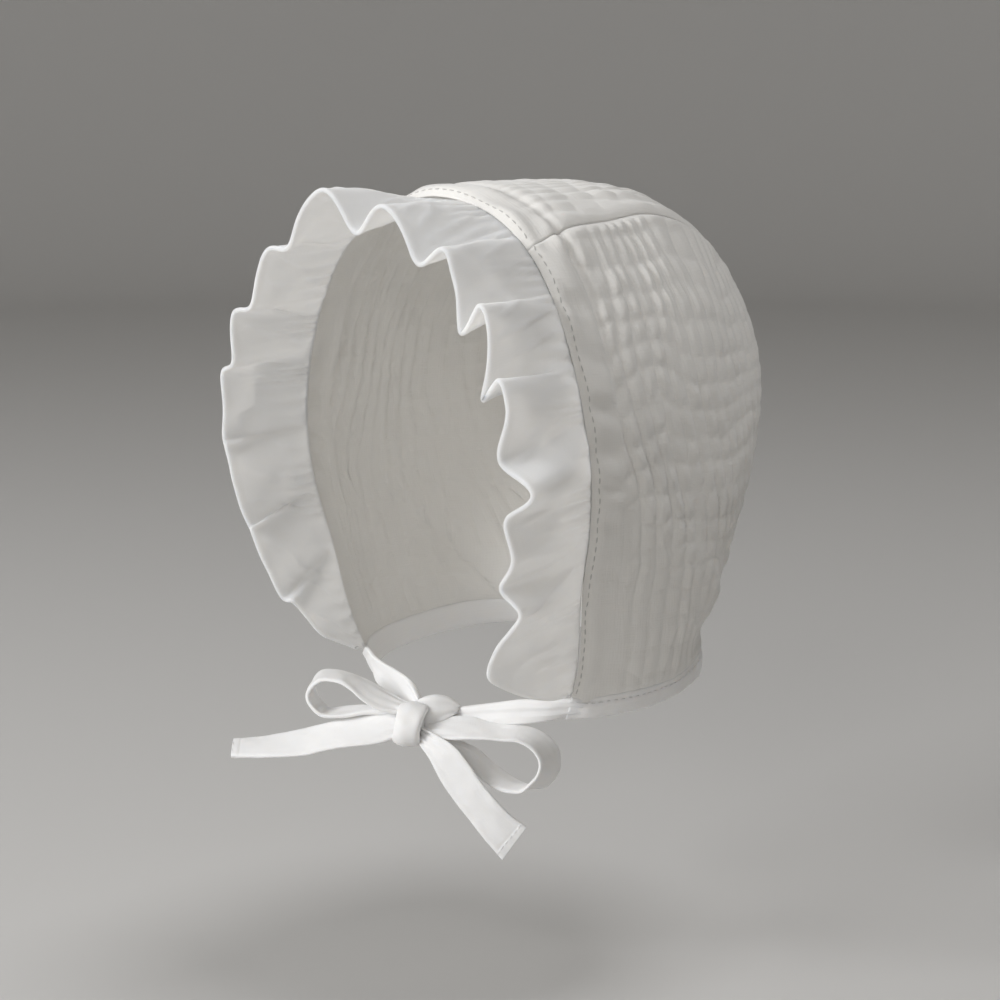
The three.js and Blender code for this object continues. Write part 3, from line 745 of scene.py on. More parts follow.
# (seam, edge, out, depth): shares of the seam from the brow to a corner, then of RUFFLE_DEPTH
FOLDS = np.array([
    (-1, -0.995, -0.02, 0.1),
    (-0.975, -0.974, -0.04, 0.32),
    (-0.945, -0.955, -0.04, 0.45),
    (-0.885, -0.925, -0.1, 0.59),
    (-0.819, -0.893, -0.2, 0.78),
    (-0.792, -0.872, -0.06, 0.79),
    (-0.716, -0.766, -0.13, 0.98),
    (-0.69, -0.742, 0, 0.88),
    (-0.606, -0.618, -0.1, 1.03),
    (-0.58, -0.592, 0.03, 0.94),
    (-0.525, -0.53, 0, 0.97),
    (-0.463, -0.475, 0.01, 1),
    (-0.44, -0.447, -0.11, 1),
    (-0.385, -0.37, 0.01, 1),
    (-0.34, -0.33, -0.18, 1),
    (-0.265, -0.23, -0.05, 1),
    (-0.19, -0.175, -0.17, 1),
    (-0.08, -0.064, 0.13, 1),
    (0.005, 0.011, -0.24, 1),
    (0.08, 0.075, 0.04, 1),
    (0.17, 0.188, -0.21, 1),
    (0.21, 0.225, 0.09, 1),
    (0.29, 0.343, -0.145, 1),
    (0.32, 0.324, 0.15, 1),
    (0.365, 0.375, 0.14, 1),
    (0.412, 0.457, -0.085, 1),
    (0.44, 0.436, 0.12, 1),
    (0.475, 0.478, 0.16, 1),
    (0.522, 0.555, -0.02, 1),
    (0.57, 0.6, 0.31, 1),
    (0.63, 0.648, 0.01, 1),
    (0.69, 0.71, 0.12, 1),
    (0.74, 0.765, 0.03, 1),
    (0.79, 0.787, 0.28, 1),
    (0.855, 0.874, 0, 1),
    (0.915, 0.93, -0.07, 1),
    (0.955, 0.963, 0, 0.72),
    (0.982, 0.988, 0.02, 0.36),
    (1, 0.998, 0, 0.12),
])


# %% Ruffle seam
SEAM_GAP = 0.3


def ruffle_seam(samples=600):
    """Points along the ruffle's seam from the brow down to the binding, evenly spaced."""
    def at(angle, radius):
        z = radius * np.cos(angle)
        return np.stack([radius * np.sin(angle), -seam_reach(z) - SEAM_GAP, z], -1)

    def point(angle):
        inside = lambda radius: hood_field(at(angle, radius)) < 0
        return at(angle, last_holding(inside, 0 * angle, 0 * angle + 2 * CROWN_RISE))

    def over_binding(angle):
        found = point(angle)
        return found[..., 2] > neck_level(found[..., 1]) + BINDING_DEPTH + SEAM_GAP

    end = last_holding(over_binding, np.array(math.pi / 2), np.array(math.pi))
    points = point(np.linspace(0, float(end), samples))
    length = length_along(points)
    even = np.linspace(0, length[-1], samples)
    return np.stack([np.interp(even, length, column) for column in points.T], -1), length[-1]


seam_points, SEAM_LENGTH = ruffle_seam()
print("the ruffle's seam is", round(2 * float(SEAM_LENGTH)), "mm long")


def seam_point(share):
    count = len(seam_points)
    place = np.minimum(1, np.abs(share)) * (count - 1)
    point = np.stack([np.interp(place, np.arange(count), column) for column in seam_points.T], -1)
    point[..., 0] *= np.where(np.asarray(share) < 0, -1, 1)
    return point


def seam_outward(share):
    normal = hood_normal(seam_point(share))
    normal[..., 1] = 0
    return unit(normal)


# %% Ruffle
STEPS_PER_FOLD = 22
RUFFLE_ROWS = 40
RUFFLE_WALL = 1.0
EDGE_WALL = 1.45
GATHER_SPACING = 5


def fold_values(place):
    index = np.minimum(len(FOLDS) - 2, np.floor(place).astype(int))
    rows = [FOLDS[np.clip(index + offset, 0, len(FOLDS) - 1)] for offset in (-1, 0, 1, 2)]
    return np.moveaxis(cubic(*rows, (place - index)[..., None]), -1, 0)


def grid_normals(grid):
    down = np.gradient(grid, axis=0)
    across = np.gradient(grid, axis=1)
    return unit(np.cross(down, across))


def ruffle(name, seed):
    place = np.linspace(0, len(FOLDS) - 1, (len(FOLDS) - 1) * STEPS_PER_FOLD + 1)[None, :]
    share = (np.linspace(0, 1, RUFFLE_ROWS + 1) ** 1.25)[:, None]
    on_seam, on_edge, out, depth = fold_values(place)
    bend = share**0.75
    across = on_seam + (on_edge - on_seam) * share
    outward = seam_outward(across)
    point = seam_point(across)
    along = across * SEAM_LENGTH
    gather_place = along / GATHER_SPACING + 1.2 * noise(along / 9, 0, seed)
    gathers = 0.7 + 0.5 * noise(along / 7, 5, seed + 1)
    gathers = np.sin(2 * math.pi * gather_place) * gathers
    gathers = 0.75 * gathers * ramp(share, 0, 0.06) * np.exp(-((share / 0.3) ** 1.2))
    slack = 0.6 * noise(along / 8 + 3 * share, 2.2 * share, seed + 2)
    slack = slack * ramp(share, 0.05, 0.5)
    pulls = 1 - np.abs(noise(along / 6 - 1.6 * share, 0.9 * share, seed + 4)) * 2.2
    pulls = 0.8 * np.maximum(0, pulls) ** 2 * ramp(share, 0.05, 0.3) * ramp(-share, -1, -0.75)
    slack = slack + pulls
    billow = 1.1 * np.sin(math.pi * share) * (0.5 + 0.5 * noise(along / 14, 0, seed + 3))
    away = out * RUFFLE_DEPTH * bend - 1.0 + gathers + slack * np.minimum(1, depth) + billow * depth
    middle = point + outward * away[..., None]
    lengths = depth * RUFFLE_DEPTH * share
    middle[..., 1] -= lengths - 0.6 * (1 - share) ** 8

    normal = grid_normals(middle)
    normal *= np.sign(np.sum(normal[2] * outward[2]))
    half = (RUFFLE_WALL + (EDGE_WALL - RUFFLE_WALL) * ramp(share, 0.93, 0.99)) / 2
    outer = middle + normal * half[..., None]
    inner = middle - normal * half[..., None]
    forward = unit(middle[-1] - middle[-3])
    rounding = []
    for turn in np.linspace(0, math.pi, 7)[1:-1]:
        lift = normal[-1] * math.cos(turn) + forward * math.sin(turn)
        rounding.append(middle[-1] + lift * half[-1][..., None])
    rings = np.concatenate([outer, np.stack(rounding), inner[::-1]])
    edge_length = np.repeat(lengths[-1:], len(rounding), 0)
    cloth = np.concatenate([lengths, edge_length, lengths[::-1]])
    cloth_map = np.stack([np.broadcast_to(along[:1], cloth.shape), cloth], -1)
    rows, columns = rings.shape[:2]
    sections = np.swapaxes(rings, 0, 1)
    faces = grid_faces(columns, rows, wrap=True)
    faces.append(list(range(rows)))
    faces.append(list(range(columns * rows - 1, (columns - 1) * rows - 1, -1)))
    cloth_map = np.swapaxes(cloth_map, 0, 1)
    return cloth_mesh(name, sections, faces, cloth_map, RUFFLE_COTTON)


frill = ruffle("ruffle_cloth", 5)
face_outwards(frill)
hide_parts("ruffle")
frill_area = round(flat_area(frill), 4)
print(frill.name, "area", frill_area, "m2")

# %% [markdown]
# ## Neck binding
#
# A folded band holds the neck edge of all three panels. It is a flat tube swept along the edge.
# Its stitch line pulls it in near the top, and the cloth puckers a little from stitch to stitch.

# %% Neck binding
BINDING_STEPS = 420
BINDING_SECTION = 30
BINDING_PROUD = 1.35
BINDING_STITCH = 0.8
BINDING_SPACING = 2.4


def neck_ring(turn, lift):
    """The hood's face at a height over the neck edge, at a turn from the nape."""
    def at(radius):
        y = NECK_CENTRE_SHARE * BACK_REACH + radius * np.cos(turn)
        return np.stack([radius * np.sin(turn), y, neck_level(y) + lift], -1)

    inside = lambda radius: hood_field(at(radius)) < 0
    points = at(last_holding(inside, 0 * turn, 0 * turn + 2 * BACK_REACH))
    return points - hood_normal(points) * nape_dent(points)[..., None]


def neck_end(lift):
    def behind_seam(turn):
        point = neck_ring(turn, lift)
        return point[..., 1] > -seam_reach(point[..., 2])

    return float(last_holding(behind_seam, np.array(math.pi / 2), np.array(math.pi)))


def binding_path(lift, steps):
    turns = np.linspace(1, -1, steps + 1) * neck_end(lift)
    return neck_ring(turns, lift)


def tie_tube(name, sections, across, along):
    """A closed tube of the ties' cotton, from its sections and its map."""
    faces = tube_faces(*sections.shape[:2])
    piece = cloth_mesh(name, sections, faces, joined(across, along), TIE_COTTON)
    face_outwards(piece)
    return piece


def neck_binding(name, seed):
    low = binding_path(0, BINDING_STEPS)
    high = binding_path(BINDING_DEPTH, BINDING_STEPS)
    outward = hood_normal((low + high) / 2)
    length = length_along(low)[:, None]
    turn = full_turn(BINDING_SECTION)
    height = 0.5 - 0.54 * squarer(np.cos(turn), 0.8)
    proud = BINDING_PROUD * squarer(np.sin(turn), 0.7) - 0.5
    on_outside = np.sin(turn) > 0
    stitch = bell(height - BINDING_STITCH, 0.07)
    pucker = 0.5 + 0.5 * np.cos(2 * math.pi * length / BINDING_SPACING)
    ripple = noise(length / 3.1, height * 2, seed) * 0.22
    ripple = ripple + noise(length / 11, height, seed + 1) * 0.35
    proud = proud + on_outside * (ripple - stitch * (0.3 + 0.16 * pucker))
    sway = 0.35 * noise(length / 16, 0, seed + 2)
    height = height + sway / BINDING_DEPTH
    sections = low[:, None] + (high - low)[:, None] * height[..., None]
    sections = sections + outward[:, None] * proud[..., None]
    across = np.abs(np.linspace(-1, 1, BINDING_SECTION))[None, :] * BINDING_DEPTH
    print(name, "length", round(float(length[-1, 0])), "mm")
    return tie_tube(name, sections, across, length)


binding = neck_binding("binding_cloth", 23)
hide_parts("neck_binding")
binding_area = round(flat_area(binding), 5)
print("the binding's area is", binding_area, "m2")

# %% [markdown]
# ## Ties and bow
#
# The binding runs on into two ties. They pass under the chin, cross in a knot, and come out as two
# loops and two tails. A band like this is easiest to lay by its two edges: each row says where the
# near edge and the far edge are, so the rows decide how the band turns, tilts and narrows. Smooth
# curves join the rows, and a soft folded section is swept between the two edges.

# %% Bow sizes
TIE_WIDTH = 11
TIE_WALL = 1.3
KNOT_FORWARD = 26.5
KNOT_DROP = 3.5
BOW_TURN = math.radians(25)

bow_axes = np.array([
    (math.cos(BOW_TURN), math.sin(BOW_TURN), 0),
    (0, 0, 1),
    (math.sin(BOW_TURN), -math.cos(BOW_TURN), 0),
])
knot_centre = np.array([0, -SEAM_REACH_CORNER - KNOT_FORWARD, -CORNER_DROP - KNOT_DROP])


def from_knot(rows):
    """Places given along the bow, up and out of it, as places of the hood."""
    return knot_centre + np.asarray(rows, float) @ bow_axes


# %% Band helper
BAND_STEPS = 180
BAND_SECTION = 40
PLEAT_HEIGHT = 0.8
PLEAT_RUN = 8
HEM = 2.6


def smooth_rows(rows, steps):
    """A smooth curve through rows of values."""
    rows = np.asarray(rows, float)
    place = np.linspace(0, len(rows) - 1, steps + 1)
    index = np.minimum(len(rows) - 2, np.floor(place).astype(int))
    pick = lambda offset: rows[np.clip(index + offset, 0, len(rows) - 1)]
    return cubic(pick(-1), pick(0), pick(1), pick(2), (place - index)[:, None])


def band(name, node, near_edge, far_edge, seed, pleats, crease, hem):
    """A flat folded band between two edges. pleats says how strongly its two ends are pleated."""
    edges = smooth_rows(np.hstack([near_edge, far_edge]), BAND_STEPS)
    middle = (edges[:, :3] + edges[:, 3:]) / 2
    side = edges[:, 3:] - edges[:, :3]
    width = np.linalg.norm(side, axis=1, keepdims=True)
    side = unit(side)
    tangent = unit(np.gradient(middle, axis=0))
    face = unit(np.cross(tangent, side))
    length = length_along(middle)[:, None]
    total = float(length[-1, 0])
    turn = full_turn(BAND_SECTION)
    across = squarer(-np.cos(turn), 0.8)
    thick = squarer(np.sin(turn), 0.5)
    gathered = np.clip(TIE_WIDTH / width - 1, 0, 1.6)
    wall = TIE_WALL * (1 + 0.55 * gathered)
    rolled = 1 + 0.25 * bell(np.abs(across) - 0.84, 0.12)
    if hem:
        from_end = total - length
        rolled = rolled + 0.2 * ramp(HEM - from_end, -0.5, 0.5) - 0.18 * bell(from_end - HEM, 0.4)
    start = pleats[0] * bell(length, PLEAT_RUN)
    end = pleats[1] * bell(total - length, PLEAT_RUN)
    folds = np.cos(math.pi * (3.1 * across + 0.5 * noise(length / 6, 0, seed)) + seed)
    slack = 0.4 * noise(length / 11, across * 0.9 + 7, seed)
    slack = slack + 0.14 * noise(length / 3.5, across * 2.6, seed + 1)
    groove = crease * bell(across - 0.1, 0.14) * np.sign(thick)
    cup = 0.35 * (across**2 - 0.4)
    offset = thick * wall / 2 * rolled + PLEAT_HEIGHT * (start + end) * folds + slack + cup - groove
    sections = middle[:, None] + side[:, None] * (across * width / 2)[..., None]
    sections = sections + face[:, None] * offset[..., None]
    piece = tie_tube(name, sections, across * TIE_WIDTH / 2, length)
    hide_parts(node)
    bpy.context.view_layer.update()
    print(name, "is", round(total), "mm long")
    return piece, total


def declare_band(piece, total):
    flat = (TIE_WIDTH * MM, total * MM)
    print(piece.name, "area share", round(flat_area(piece) / (flat[0] * flat[1]), 2))


# %% Bow table
# Each band has its node, how strongly its ends are pleated, its crease, and its rows. A row is the
# near edge, then the far edge, each along the bow, up, and out of it, in millimetres.
BOW = {
    "loop_cloth_left": ("bow_loop_left", (1, 1), 0, [
        (1.5, -3.5, -1, 1, -0.5, -2.5),
        (8, -3.5, 2.5, 7, 0.5, -2.5),
        (15.5, -3.5, 4, 13, 1.5, -4),
        (24, -3, 4.5, 19.5, 1.5, -5),
        (32, -2.5, 4.5, 28, 0, -5),
        (37.5, -2.5, 4, 35.5, 0, -5.5),
        (41.5, -4.5, 3.5, 43, -2, -6),
        (44, -8, 3, 47.5, -7, -6.5),
        (44, -12, 3, 47.5, -13.5, -6.5),
        (41.5, -15.5, 3, 44, -18.5, -6.5),
        (38, -18.5, 3, 38.5, -19.5, -7),
        (32.5, -19, 2.5, 32.5, -17.5, -7.5),
        (27, -17, 2, 26, -13.5, -8),
        (19.5, -12, 0.5, 20, -8.5, -7),
        (10.5, -7, -1.5, 11, -5, -5.5),
        (1.5, -3, -3, 1, -2, -4.5),
    ]),
    "loop_cloth_right": ("bow_loop_right", (0.6, 1), 0, [
        (0.5, 2, 0, -0.5, 4.5, -2.5),
        (-6.5, 3.5, 3.5, -8, 8.5, -3),
        (-12.5, 6.5, 5, -15, 11.5, -4),
        (-17.5, 10, 5, -20.5, 13, -4.5),
        (-22, 12, 4.5, -26, 13.5, -4.5),
        (-27.5, 12, 4, -31, 12.5, -5),
        (-31.5, 9.5, 3.5, -34, 9, -5.5),
        (-33.5, 6, 3, -34, 5, -6),
        (-32, 2.5, 3, -32, 1.5, -6),
        (-28, 0, 3, -28.5, 0, -6),
        (-20.5, 0.5, 2.5, -22, 1.5, -6),
        (-12.5, 2, 1.5, -13.5, 2.5, -5.5),
        (-1, 2.5, -1, -2, 3, -4),
    ]),
    "tail_cloth_left": ("bow_tail_left", (0.9, 0), 0, [
        (1.5, -4, -1, 3.5, -0.5, 0.5),
        (5, -6.5, 3, 12, -3, 3.5),
        (9, -10.5, 5, 18, -6, 5),
        (13, -17, 5.5, 22.5, -11, 5),
        (17.5, -23, 5.5, 27, -17, 5),
        (22.5, -29, 5, 31.5, -22, 4.5),
        (27.5, -35, 4.5, 35.5, -26.5, 3.5),
        (32.5, -41, 3.5, 40, -30, 2),
    ]),
    "tail_cloth_right": ("bow_tail_right", (0.7, 0), 0, [
        (0.5, -4, 0, 0, 1.5, -1),
        (-6, -6, 4.5, -7.5, 2.5, -0.5),
        (-14, -7.5, 6, -17, 0, -1),
        (-24, -9.5, 6.5, -27.5, -3, -1),
        (-34, -12.5, 6.5, -38, -6.5, -1.5),
        (-44.5, -14, 6.5, -49, -9.5, -2),
        (-53.5, -15, 6, -56.5, -11, -2.5),
        (-58.5, -15.5, 6, -61, -11.5, -2),
    ]),
    "tie_cloth_left": ("tie_left", (0, 0.9), 0.9, [
        (54, 4.5, -7.5, 57, 10, -5.5),
        (50, 4, -6, 52.5, 10.5, -3.5),
        (44.5, 2.5, -4, 45, 10, -2.5),
        (36, 1, -4.5, 36, 9, -3),
        (27, 0, -5, 27, 7, -4.5),
        (18.5, -1, -6, 18, 5, -6),
        (11, -0.5, -6, 11.5, 3.5, -7.5),
        (5.5, -0.5, -5, 6, 2.5, -6),
        (1.5, 0, -3.5, 1.5, 2.5, -4),
    ]),
    "tie_cloth_right": ("tie_right", (0, 0.7), 0.4, [
        (-28.5, 4.5, -44.5, -32, 10.5, -44.5),
        (-27, 5, -41, -30.5, 11.5, -41),
        (-25.5, 6.5, -36, -27.5, 14, -36),
        (-20, 5, -26, -20.5, 13, -26),
        (-11.5, 4, -14, -8.5, 12.5, -14),
        (-4.5, 3.5, -6, -1, 11, -7),
        (0.5, 1.5, -2.5, 3, 7, -4),
    ]),
}
band_lines = {}
for seed, (name, (node, pleats, crease, rows)) in enumerate(BOW.items()):
    rows = np.array(rows)
    near = from_knot(rows[:, :3])
    far = from_knot(rows[:, 3:])
    hem = name.startswith("tail")
    piece, total = band(name, node, near, far, 60 + 3 * seed, pleats, crease, hem)
    band_lines[name] = (piece, rows, total)
    declare_band(piece, total)

# %% [markdown]
# ## Knot
#
# The knot is the same band wound once round the others, so it is a closed ring of the band with a
# padded section. Behind its upper side the end of the near tie crosses over, which shows as a
# second soft lobe. A plain filling closes the ring behind the ends of the bands.

# %% Knot
WRAP_WIDTH = 9.2
WRAP_WALL = 3.8
WRAP_HALF_HEIGHT = 5.2
WRAP_HALF_DEPTH = 4.6
WRAP_CENTRE = (0.9, -0.7, 0.4)
WRAP_STEPS = 120
CROSSING_STEPS = 60
CORE_SHARE = 0.92
CROSSING = [
    (1.6, -2.0, -0.6, 2.0, 6.4, -1.2),
    (5.0, -2.2, -0.4, 5.0, 8.0, -2.0),
    (8.4, -1.0, -1.2, 8.4, 8.6, -3.2),
    (11.6, 0.8, -2.8, 12.0, 7.6, -5.0),
    (14.4, 2.6, -5.0, 14.8, 5.0, -6.4),
]


def knot_wrap(name, seed):
    turn = full_turn(WRAP_STEPS).T
    section = full_turn(BAND_SECTION)
    across = squarer(np.cos(section), 0.85)
    lift = squarer(np.sin(section), 0.8)
    lean = 0.8 * np.sin(turn - 0.5) + 1.5 * np.cos(turn)
    outer = np.maximum(0, lift)
    creases = 0.12 * np.cos(2 * math.pi * (0.8 * across + 0.25 * np.sin(turn))) * outer
    soft = 0.35 * noise(2 + 1.4 * np.cos(turn), 2 + 1.4 * np.sin(turn), seed)
    soft = soft + 0.25 * noise(5 + 2 * np.cos(turn) + across, 5 + 2 * np.sin(turn), seed + 1)
    reach = lift * WRAP_WALL / 2 + creases + soft * outer
    narrow = 1 + 0.06 * np.cos(2 * turn)
    along = WRAP_CENTRE[0] + across * narrow * WRAP_WIDTH / 2 + lean
    up = WRAP_CENTRE[1] + np.cos(turn) * (WRAP_HALF_HEIGHT + reach)
    out = WRAP_CENTRE[2] + np.sin(turn) * (WRAP_HALF_DEPTH + reach)
    ring = from_knot(joined(along, up, out))
    cloth_map = joined(across * WRAP_WIDTH / 2, turn * WRAP_HALF_HEIGHT)
    faces = grid_faces(WRAP_STEPS, BAND_SECTION, wrap=True)
    last = (WRAP_STEPS - 1) * BAND_SECTION
    for corner in range(BAND_SECTION):
        after = (corner + 1) % BAND_SECTION
        faces.append([last + corner, last + after, after, corner])
    piece = cloth_mesh(name, ring, faces, cloth_map, TIE_COTTON)
    face_outwards(piece)
    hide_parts("bow_knot")
    bpy.context.view_layer.update()
    return piece


def knot_crossing(name, seed):
    edges = smooth_rows(CROSSING, CROSSING_STEPS)
    near = from_knot(edges[:, :3])
    far = from_knot(edges[:, 3:])
    middle = (near + far) / 2
    side = far - near
    face = unit(np.cross(unit(np.gradient(middle, axis=0)), unit(side)))
    turn = full_turn(BAND_SECTION)
    share = np.linspace(0, 1, CROSSING_STEPS + 1)[:, None]
    swell = 1.9 * np.sin(math.pi * np.clip(0.12 + 0.8 * share, 0, 1)) ** 0.6
    across = -squarer(np.cos(turn), 0.8)
    lift = squarer(np.sin(turn), 0.7) * swell + 0.25 * np.cos(math.pi * 2.3 * across + 1)
    lift = lift + 0.3 * noise(share * 3, across * 2 + 5, seed)
    points = middle[:, None] + side[:, None] * (across / 2)[..., None]
    points = points + face[:, None] * lift[..., None]
    return tie_tube(name, points, across * 4, share * 16)


def knot_core(name, half_length=4.9, rings=17, sides=32):
    """A plain closed filling of the ring, behind the bands' ends."""
    turn = full_turn(sides)
    tilt = np.linspace(0.02, math.pi - 0.02, rings)[:, None]
    along = WRAP_CENTRE[0] + half_length * np.cos(tilt)
    up = WRAP_CENTRE[1] + CORE_SHARE * WRAP_HALF_HEIGHT * np.sin(tilt) * np.cos(turn)
    out = WRAP_CENTRE[2] + CORE_SHARE * WRAP_HALF_DEPTH * np.sin(tilt) * np.sin(turn)
    tie_tube(name, from_knot(joined(along, up, out)), turn * WRAP_HALF_DEPTH, along)


knot_core("knot_core")
knot = knot_wrap("knot_cloth", 81)
crossing = knot_crossing("knot_crossing", 91)
for piece in (knot, crossing):
    print(piece.name, "area", round(flat_area(piece), 6), "m2")

# %% [markdown]
# ## Stitches
#
# A stitch line is one small thread shape repeated along a path, which is work for Geometry Nodes:
# the path is made a curve, points are set along it at the stitch length, and a thread is put on
# each point, turned along the path. The threads lie on the finished cloth, so each path is first
# pushed onto the nearest cloth.

# %% Stitch nodes
THREAD_SEGMENTS = 8
THREAD_RINGS = 6


def stitch_nodes():
    tree = bpy.data.node_groups.new("stitch_line", "GeometryNodeTree")
    new_socket = tree.interface.new_socket
    new_socket("Geometry", in_out="INPUT", socket_type="NodeSocketGeometry")
    sizes = [
        new_socket(label, in_out="INPUT", socket_type="NodeSocketFloat").identifier
        for label in ("Stitch Spacing", "Stitch Length", "Thread Width")
    ]
    cloth = new_socket("Thread Material", in_out="INPUT", socket_type="NodeSocketMaterial")
    new_socket("Geometry", in_out="OUTPUT", socket_type="NodeSocketGeometry")
    nodes = tree.nodes
    given = nodes.new("NodeGroupInput")
    result = nodes.new("NodeGroupOutput")
    curve = nodes.new("GeometryNodeMeshToCurve")
    spots = nodes.new("GeometryNodeCurveToPoints")
    spots.mode = "LENGTH"
    thread = nodes.new("GeometryNodeMeshUVSphere")
    set_inputs(thread, {"Segments": THREAD_SEGMENTS, "Rings": THREAD_RINGS, "Radius": 0.5})
    turned = nodes.new("FunctionNodeAlignRotationToVector")
    turned.axis = "X"
    stretch = nodes.new("ShaderNodeCombineXYZ")
    threads = nodes.new("GeometryNodeInstanceOnPoints")
    real = nodes.new("GeometryNodeRealizeInstances")
    finish = nodes.new("GeometryNodeSetMaterial")
    connect(tree, [
        (given, "Geometry", curve, "Mesh"),
        (curve, "Curve", spots, "Curve"),
        (given, "Stitch Spacing", spots, "Length"),
        (spots, "Tangent", turned, "Vector"),
        (given, "Stitch Length", stretch, "X"),
        (given, "Thread Width", stretch, "Y"),
        (given, "Thread Width", stretch, "Z"),
        (spots, "Points", threads, "Points"),
        (thread, "Mesh", threads, "Instance"),
        (turned, "Rotation", threads, "Rotation"),
        (stretch, "Vector", threads, "Scale"),
        (threads, "Instances", real, "Geometry"),
        (real, "Geometry", finish, "Geometry"),
        (given, "Thread Material", finish, "Material"),
        (finish, "Geometry", result, "Geometry"),
    ])
    return tree, sizes, cloth.identifier


STITCHES, STITCH_INPUTS, THREAD_INPUT = stitch_nodes()


# %% Stitch line
def on_cloth(path, piece, proud):
    """Pushes a path in millimetres onto the nearest face of a finished piece."""
    shown = piece.evaluated_get(bpy.context.evaluated_depsgraph_get())
    tree = BVHTree.FromPolygons(
        [vertex.co.copy() for vertex in shown.data.vertices],
        [tuple(polygon.vertices) for polygon in shown.data.polygons],
    )
    placed = []
    for point in path:
        start = Vector((point * MM).tolist()) + Vector((0, 0, EAR_LEVEL * MM))
        spot, normal, _, _ = tree.find_nearest(start)
        placed.append(spot + normal * proud * MM)
    return placed


def stitch_line(name, places, material, sizes):
    """Stitches along a path. sizes is their spacing, length and width in millimetres."""
    mesh = bpy.data.meshes.new(name)
    mesh.from_pydata(places, [(step, step + 1) for step in range(len(places) - 1)], [])
    line = add_object(name + "_line", mesh)
    modifier = line.modifiers.new("stitches", "NODES")
    modifier.node_group = STITCHES
    for identifier, value in zip(STITCH_INPUTS, sizes):
        modifier[identifier] = value * MM
    modifier[THREAD_INPUT] = material
    bpy.context.view_layer.update()
    shown = line.evaluated_get(bpy.context.evaluated_depsgraph_get())
    made = bpy.data.meshes.new_from_object(shown)
    bpy.data.objects.remove(line)
    made.polygons.foreach_set("use_smooth", np.ones(len(made.polygons), bool))
    piece = add_object(name, made)
    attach(piece, "root")
    print(name, "has", len(made.polygons) // (THREAD_SEGMENTS * THREAD_RINGS), "stitches")


# %% Sew the seams
# The spacing, length and width of stitches
SEAM_SEWING = (3.1, 2.1, 0.42)
BINDING_SEWING = (BINDING_SPACING, 1.5, 0.32)
HEM_SEWING = (2.2, 1.4, 0.3)
PROUD = 0.02
END_STEPS = 400


def seam_path(side, behind, low, high):
    """A line at a distance behind the ruffle's seam, between two shares of the seam."""
    share = np.linspace(low, high, 260) * side
    points = seam_point(share)
    points[:, 1] += behind
    return points + 3 * hood_normal(points)


# The crown and side seam stitches take the grey thread, whose colour is painted shade.
for name, side, low, high, cloth in (
    ("seam_stitches_left", 1, 0.225, 0.985, side_left),
    ("seam_stitches_right", -1, 0.225, 0.985, side_right),
    ("seam_stitches_crown", 1, -0.2, 0.2, centre),
):
    path = seam_path(side, TOPSTITCH_BEHIND + SEAM_GAP, low, high)
    stitch_line(name, on_cloth(path, cloth, PROUD), THREAD_PAINTED_SHADE, SEAM_SEWING)
neck_path = binding_path(BINDING_STITCH * BINDING_DEPTH, 400)
neck_path = neck_path + hood_normal(neck_path) * BINDING_PROUD
neck_places = on_cloth(neck_path, binding, PROUD)
stitch_line("binding_stitches", neck_places, TIE_COTTON, BINDING_SEWING)
for name in ("tail_cloth_left", "tail_cloth_right"):
    piece, rows, total = band_lines[name]
    ends = smooth_rows(rows, END_STEPS)
    edge = ends[int(END_STEPS * (1 - HEM * 0.9 / total))]
    share = np.linspace(0.06, 0.94, 40)[:, None]
    across_end = from_knot(edge[:3]) * (1 - share) + from_knot(edge[3:]) * share
    across_end = across_end + from_knot((0, 0, 3)) - knot_centre
    places = on_cloth(across_end, piece, PROUD)
    stitch_line(name.replace("cloth", "stitches"), places, TIE_COTTON, HEM_SEWING)

# %% [markdown]
# ## Floor and light
#
# White cloth on a pale ground needs a quiet surrounding. The floor rises into a round wall in one
# smooth curve, so every view has the same plain ground. A large soft lamp stands in front, a little
# to the wearer's right, and leaves the near side in soft shade. A weaker lamp grazes that side, so
# that its creases show, and a weak pale world is the fill.

# %% Floor and wall
FLOOR_DROP = 0.05
FLOOR_RADIUS = 2.2
WALL_CURVE = 0.7
WALL_TOP = 2.4


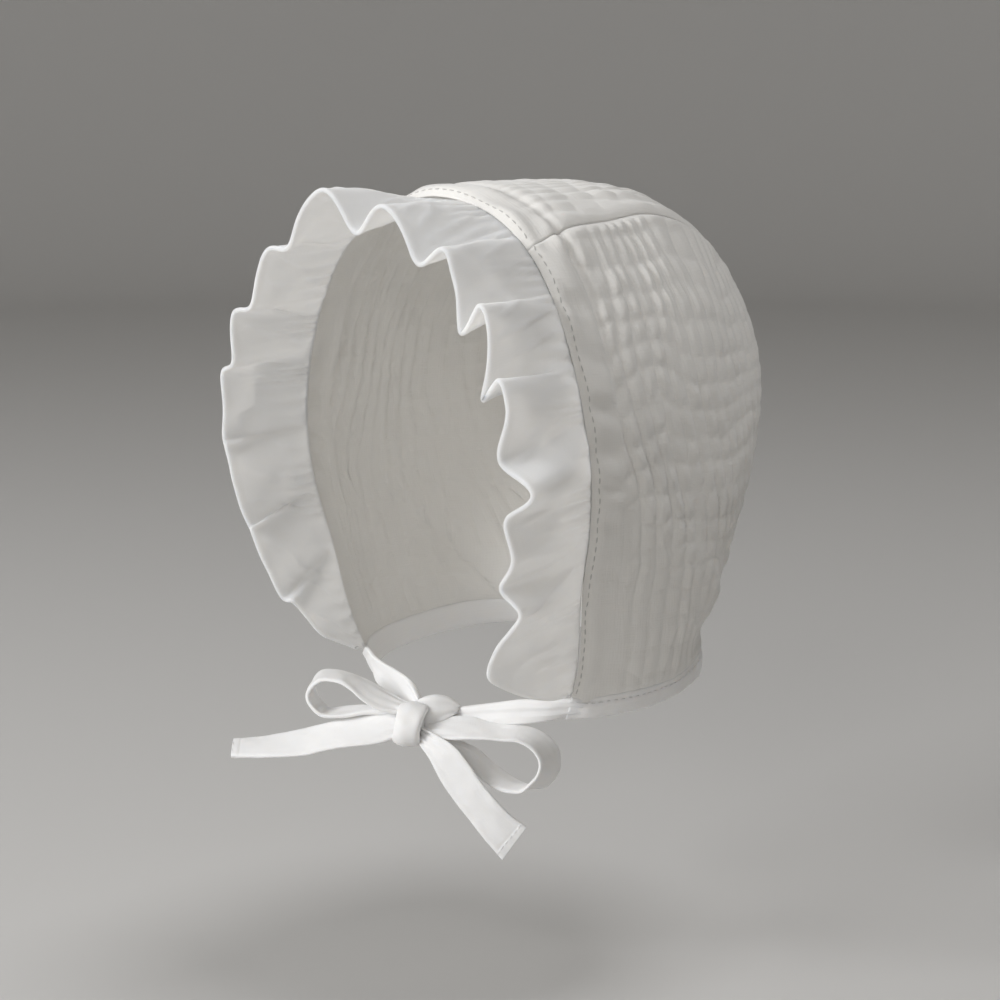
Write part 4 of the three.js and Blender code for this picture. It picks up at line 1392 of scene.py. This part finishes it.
def studio_ground():
    level = CAD_BOX[0][2] - FLOOR_DROP
    bends = np.linspace(0, math.pi / 2, 17)
    profile = [(0.02, 0), (1, 0)]
    for t in bends:
        profile.append((FLOOR_RADIUS + WALL_CURVE * math.sin(t), WALL_CURVE * (1 - math.cos(t))))
    profile.append((FLOOR_RADIUS + WALL_CURVE, WALL_TOP))
    turn = np.linspace(0, 2 * math.pi, 96, endpoint=False)
    points = [
        (radius * math.cos(t), radius * math.sin(t), level + height)
        for radius, height in profile
        for t in turn
    ]
    faces = [face[::-1] for face in grid_faces(len(profile), len(turn), wrap=True)]
    faces.append(list(range(len(turn))))
    mesh = bpy.data.meshes.new("studio_ground")
    mesh.from_pydata(points, [], faces)
    mesh.polygons.foreach_set("use_smooth", np.ones(len(mesh.polygons), bool))
    ground = add_object("studio_ground", mesh)
    material = bpy.data.materials.new("studio_ground")
    material.use_nodes = True
    shader = material.node_tree.nodes["Principled BSDF"]
    set_inputs(shader, {"Base Color": (0.6, 0.59, 0.575, 1), "Roughness": 0.9})
    mesh.materials.append(material)
    ground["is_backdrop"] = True


studio_ground()


# %% Lamps
def lamp(name, place, size, power, colour):
    data = bpy.data.lights.new(name, "AREA")
    data.shape = "DISK"
    data.size = size
    data.energy = power
    data.color = colour
    made = add_object(name, data)
    made.location = place
    made.rotation_euler = (Vector(place) - LOOK_AT).to_track_quat("Z", "Y").to_euler()


lamp("key", (-0.5, -1.75, 0.6), 1.0, 30, (0.985, 0.99, 1.0))
lamp("side", (0.8, -1.6, 0.75), 0.6, 4.5, (1.0, 0.985, 0.96))
lamp("top", (0.3, 0.2, 1.6), 0.7, 10, (0.99, 0.99, 1.0))
world = bpy.data.worlds.new("world")
bpy.context.scene.world = world
world.use_nodes = True
set_inputs(world.node_tree.nodes["Background"], {"Color": (0.95, 0.92, 0.86, 1), "Strength": 0.14})
bpy.context.scene.view_settings.view_transform = "Standard"

# %% Sizes and finish
shown = [list(corner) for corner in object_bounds()]
print("the cloth reaches from", shown[0], "to", shown[1])
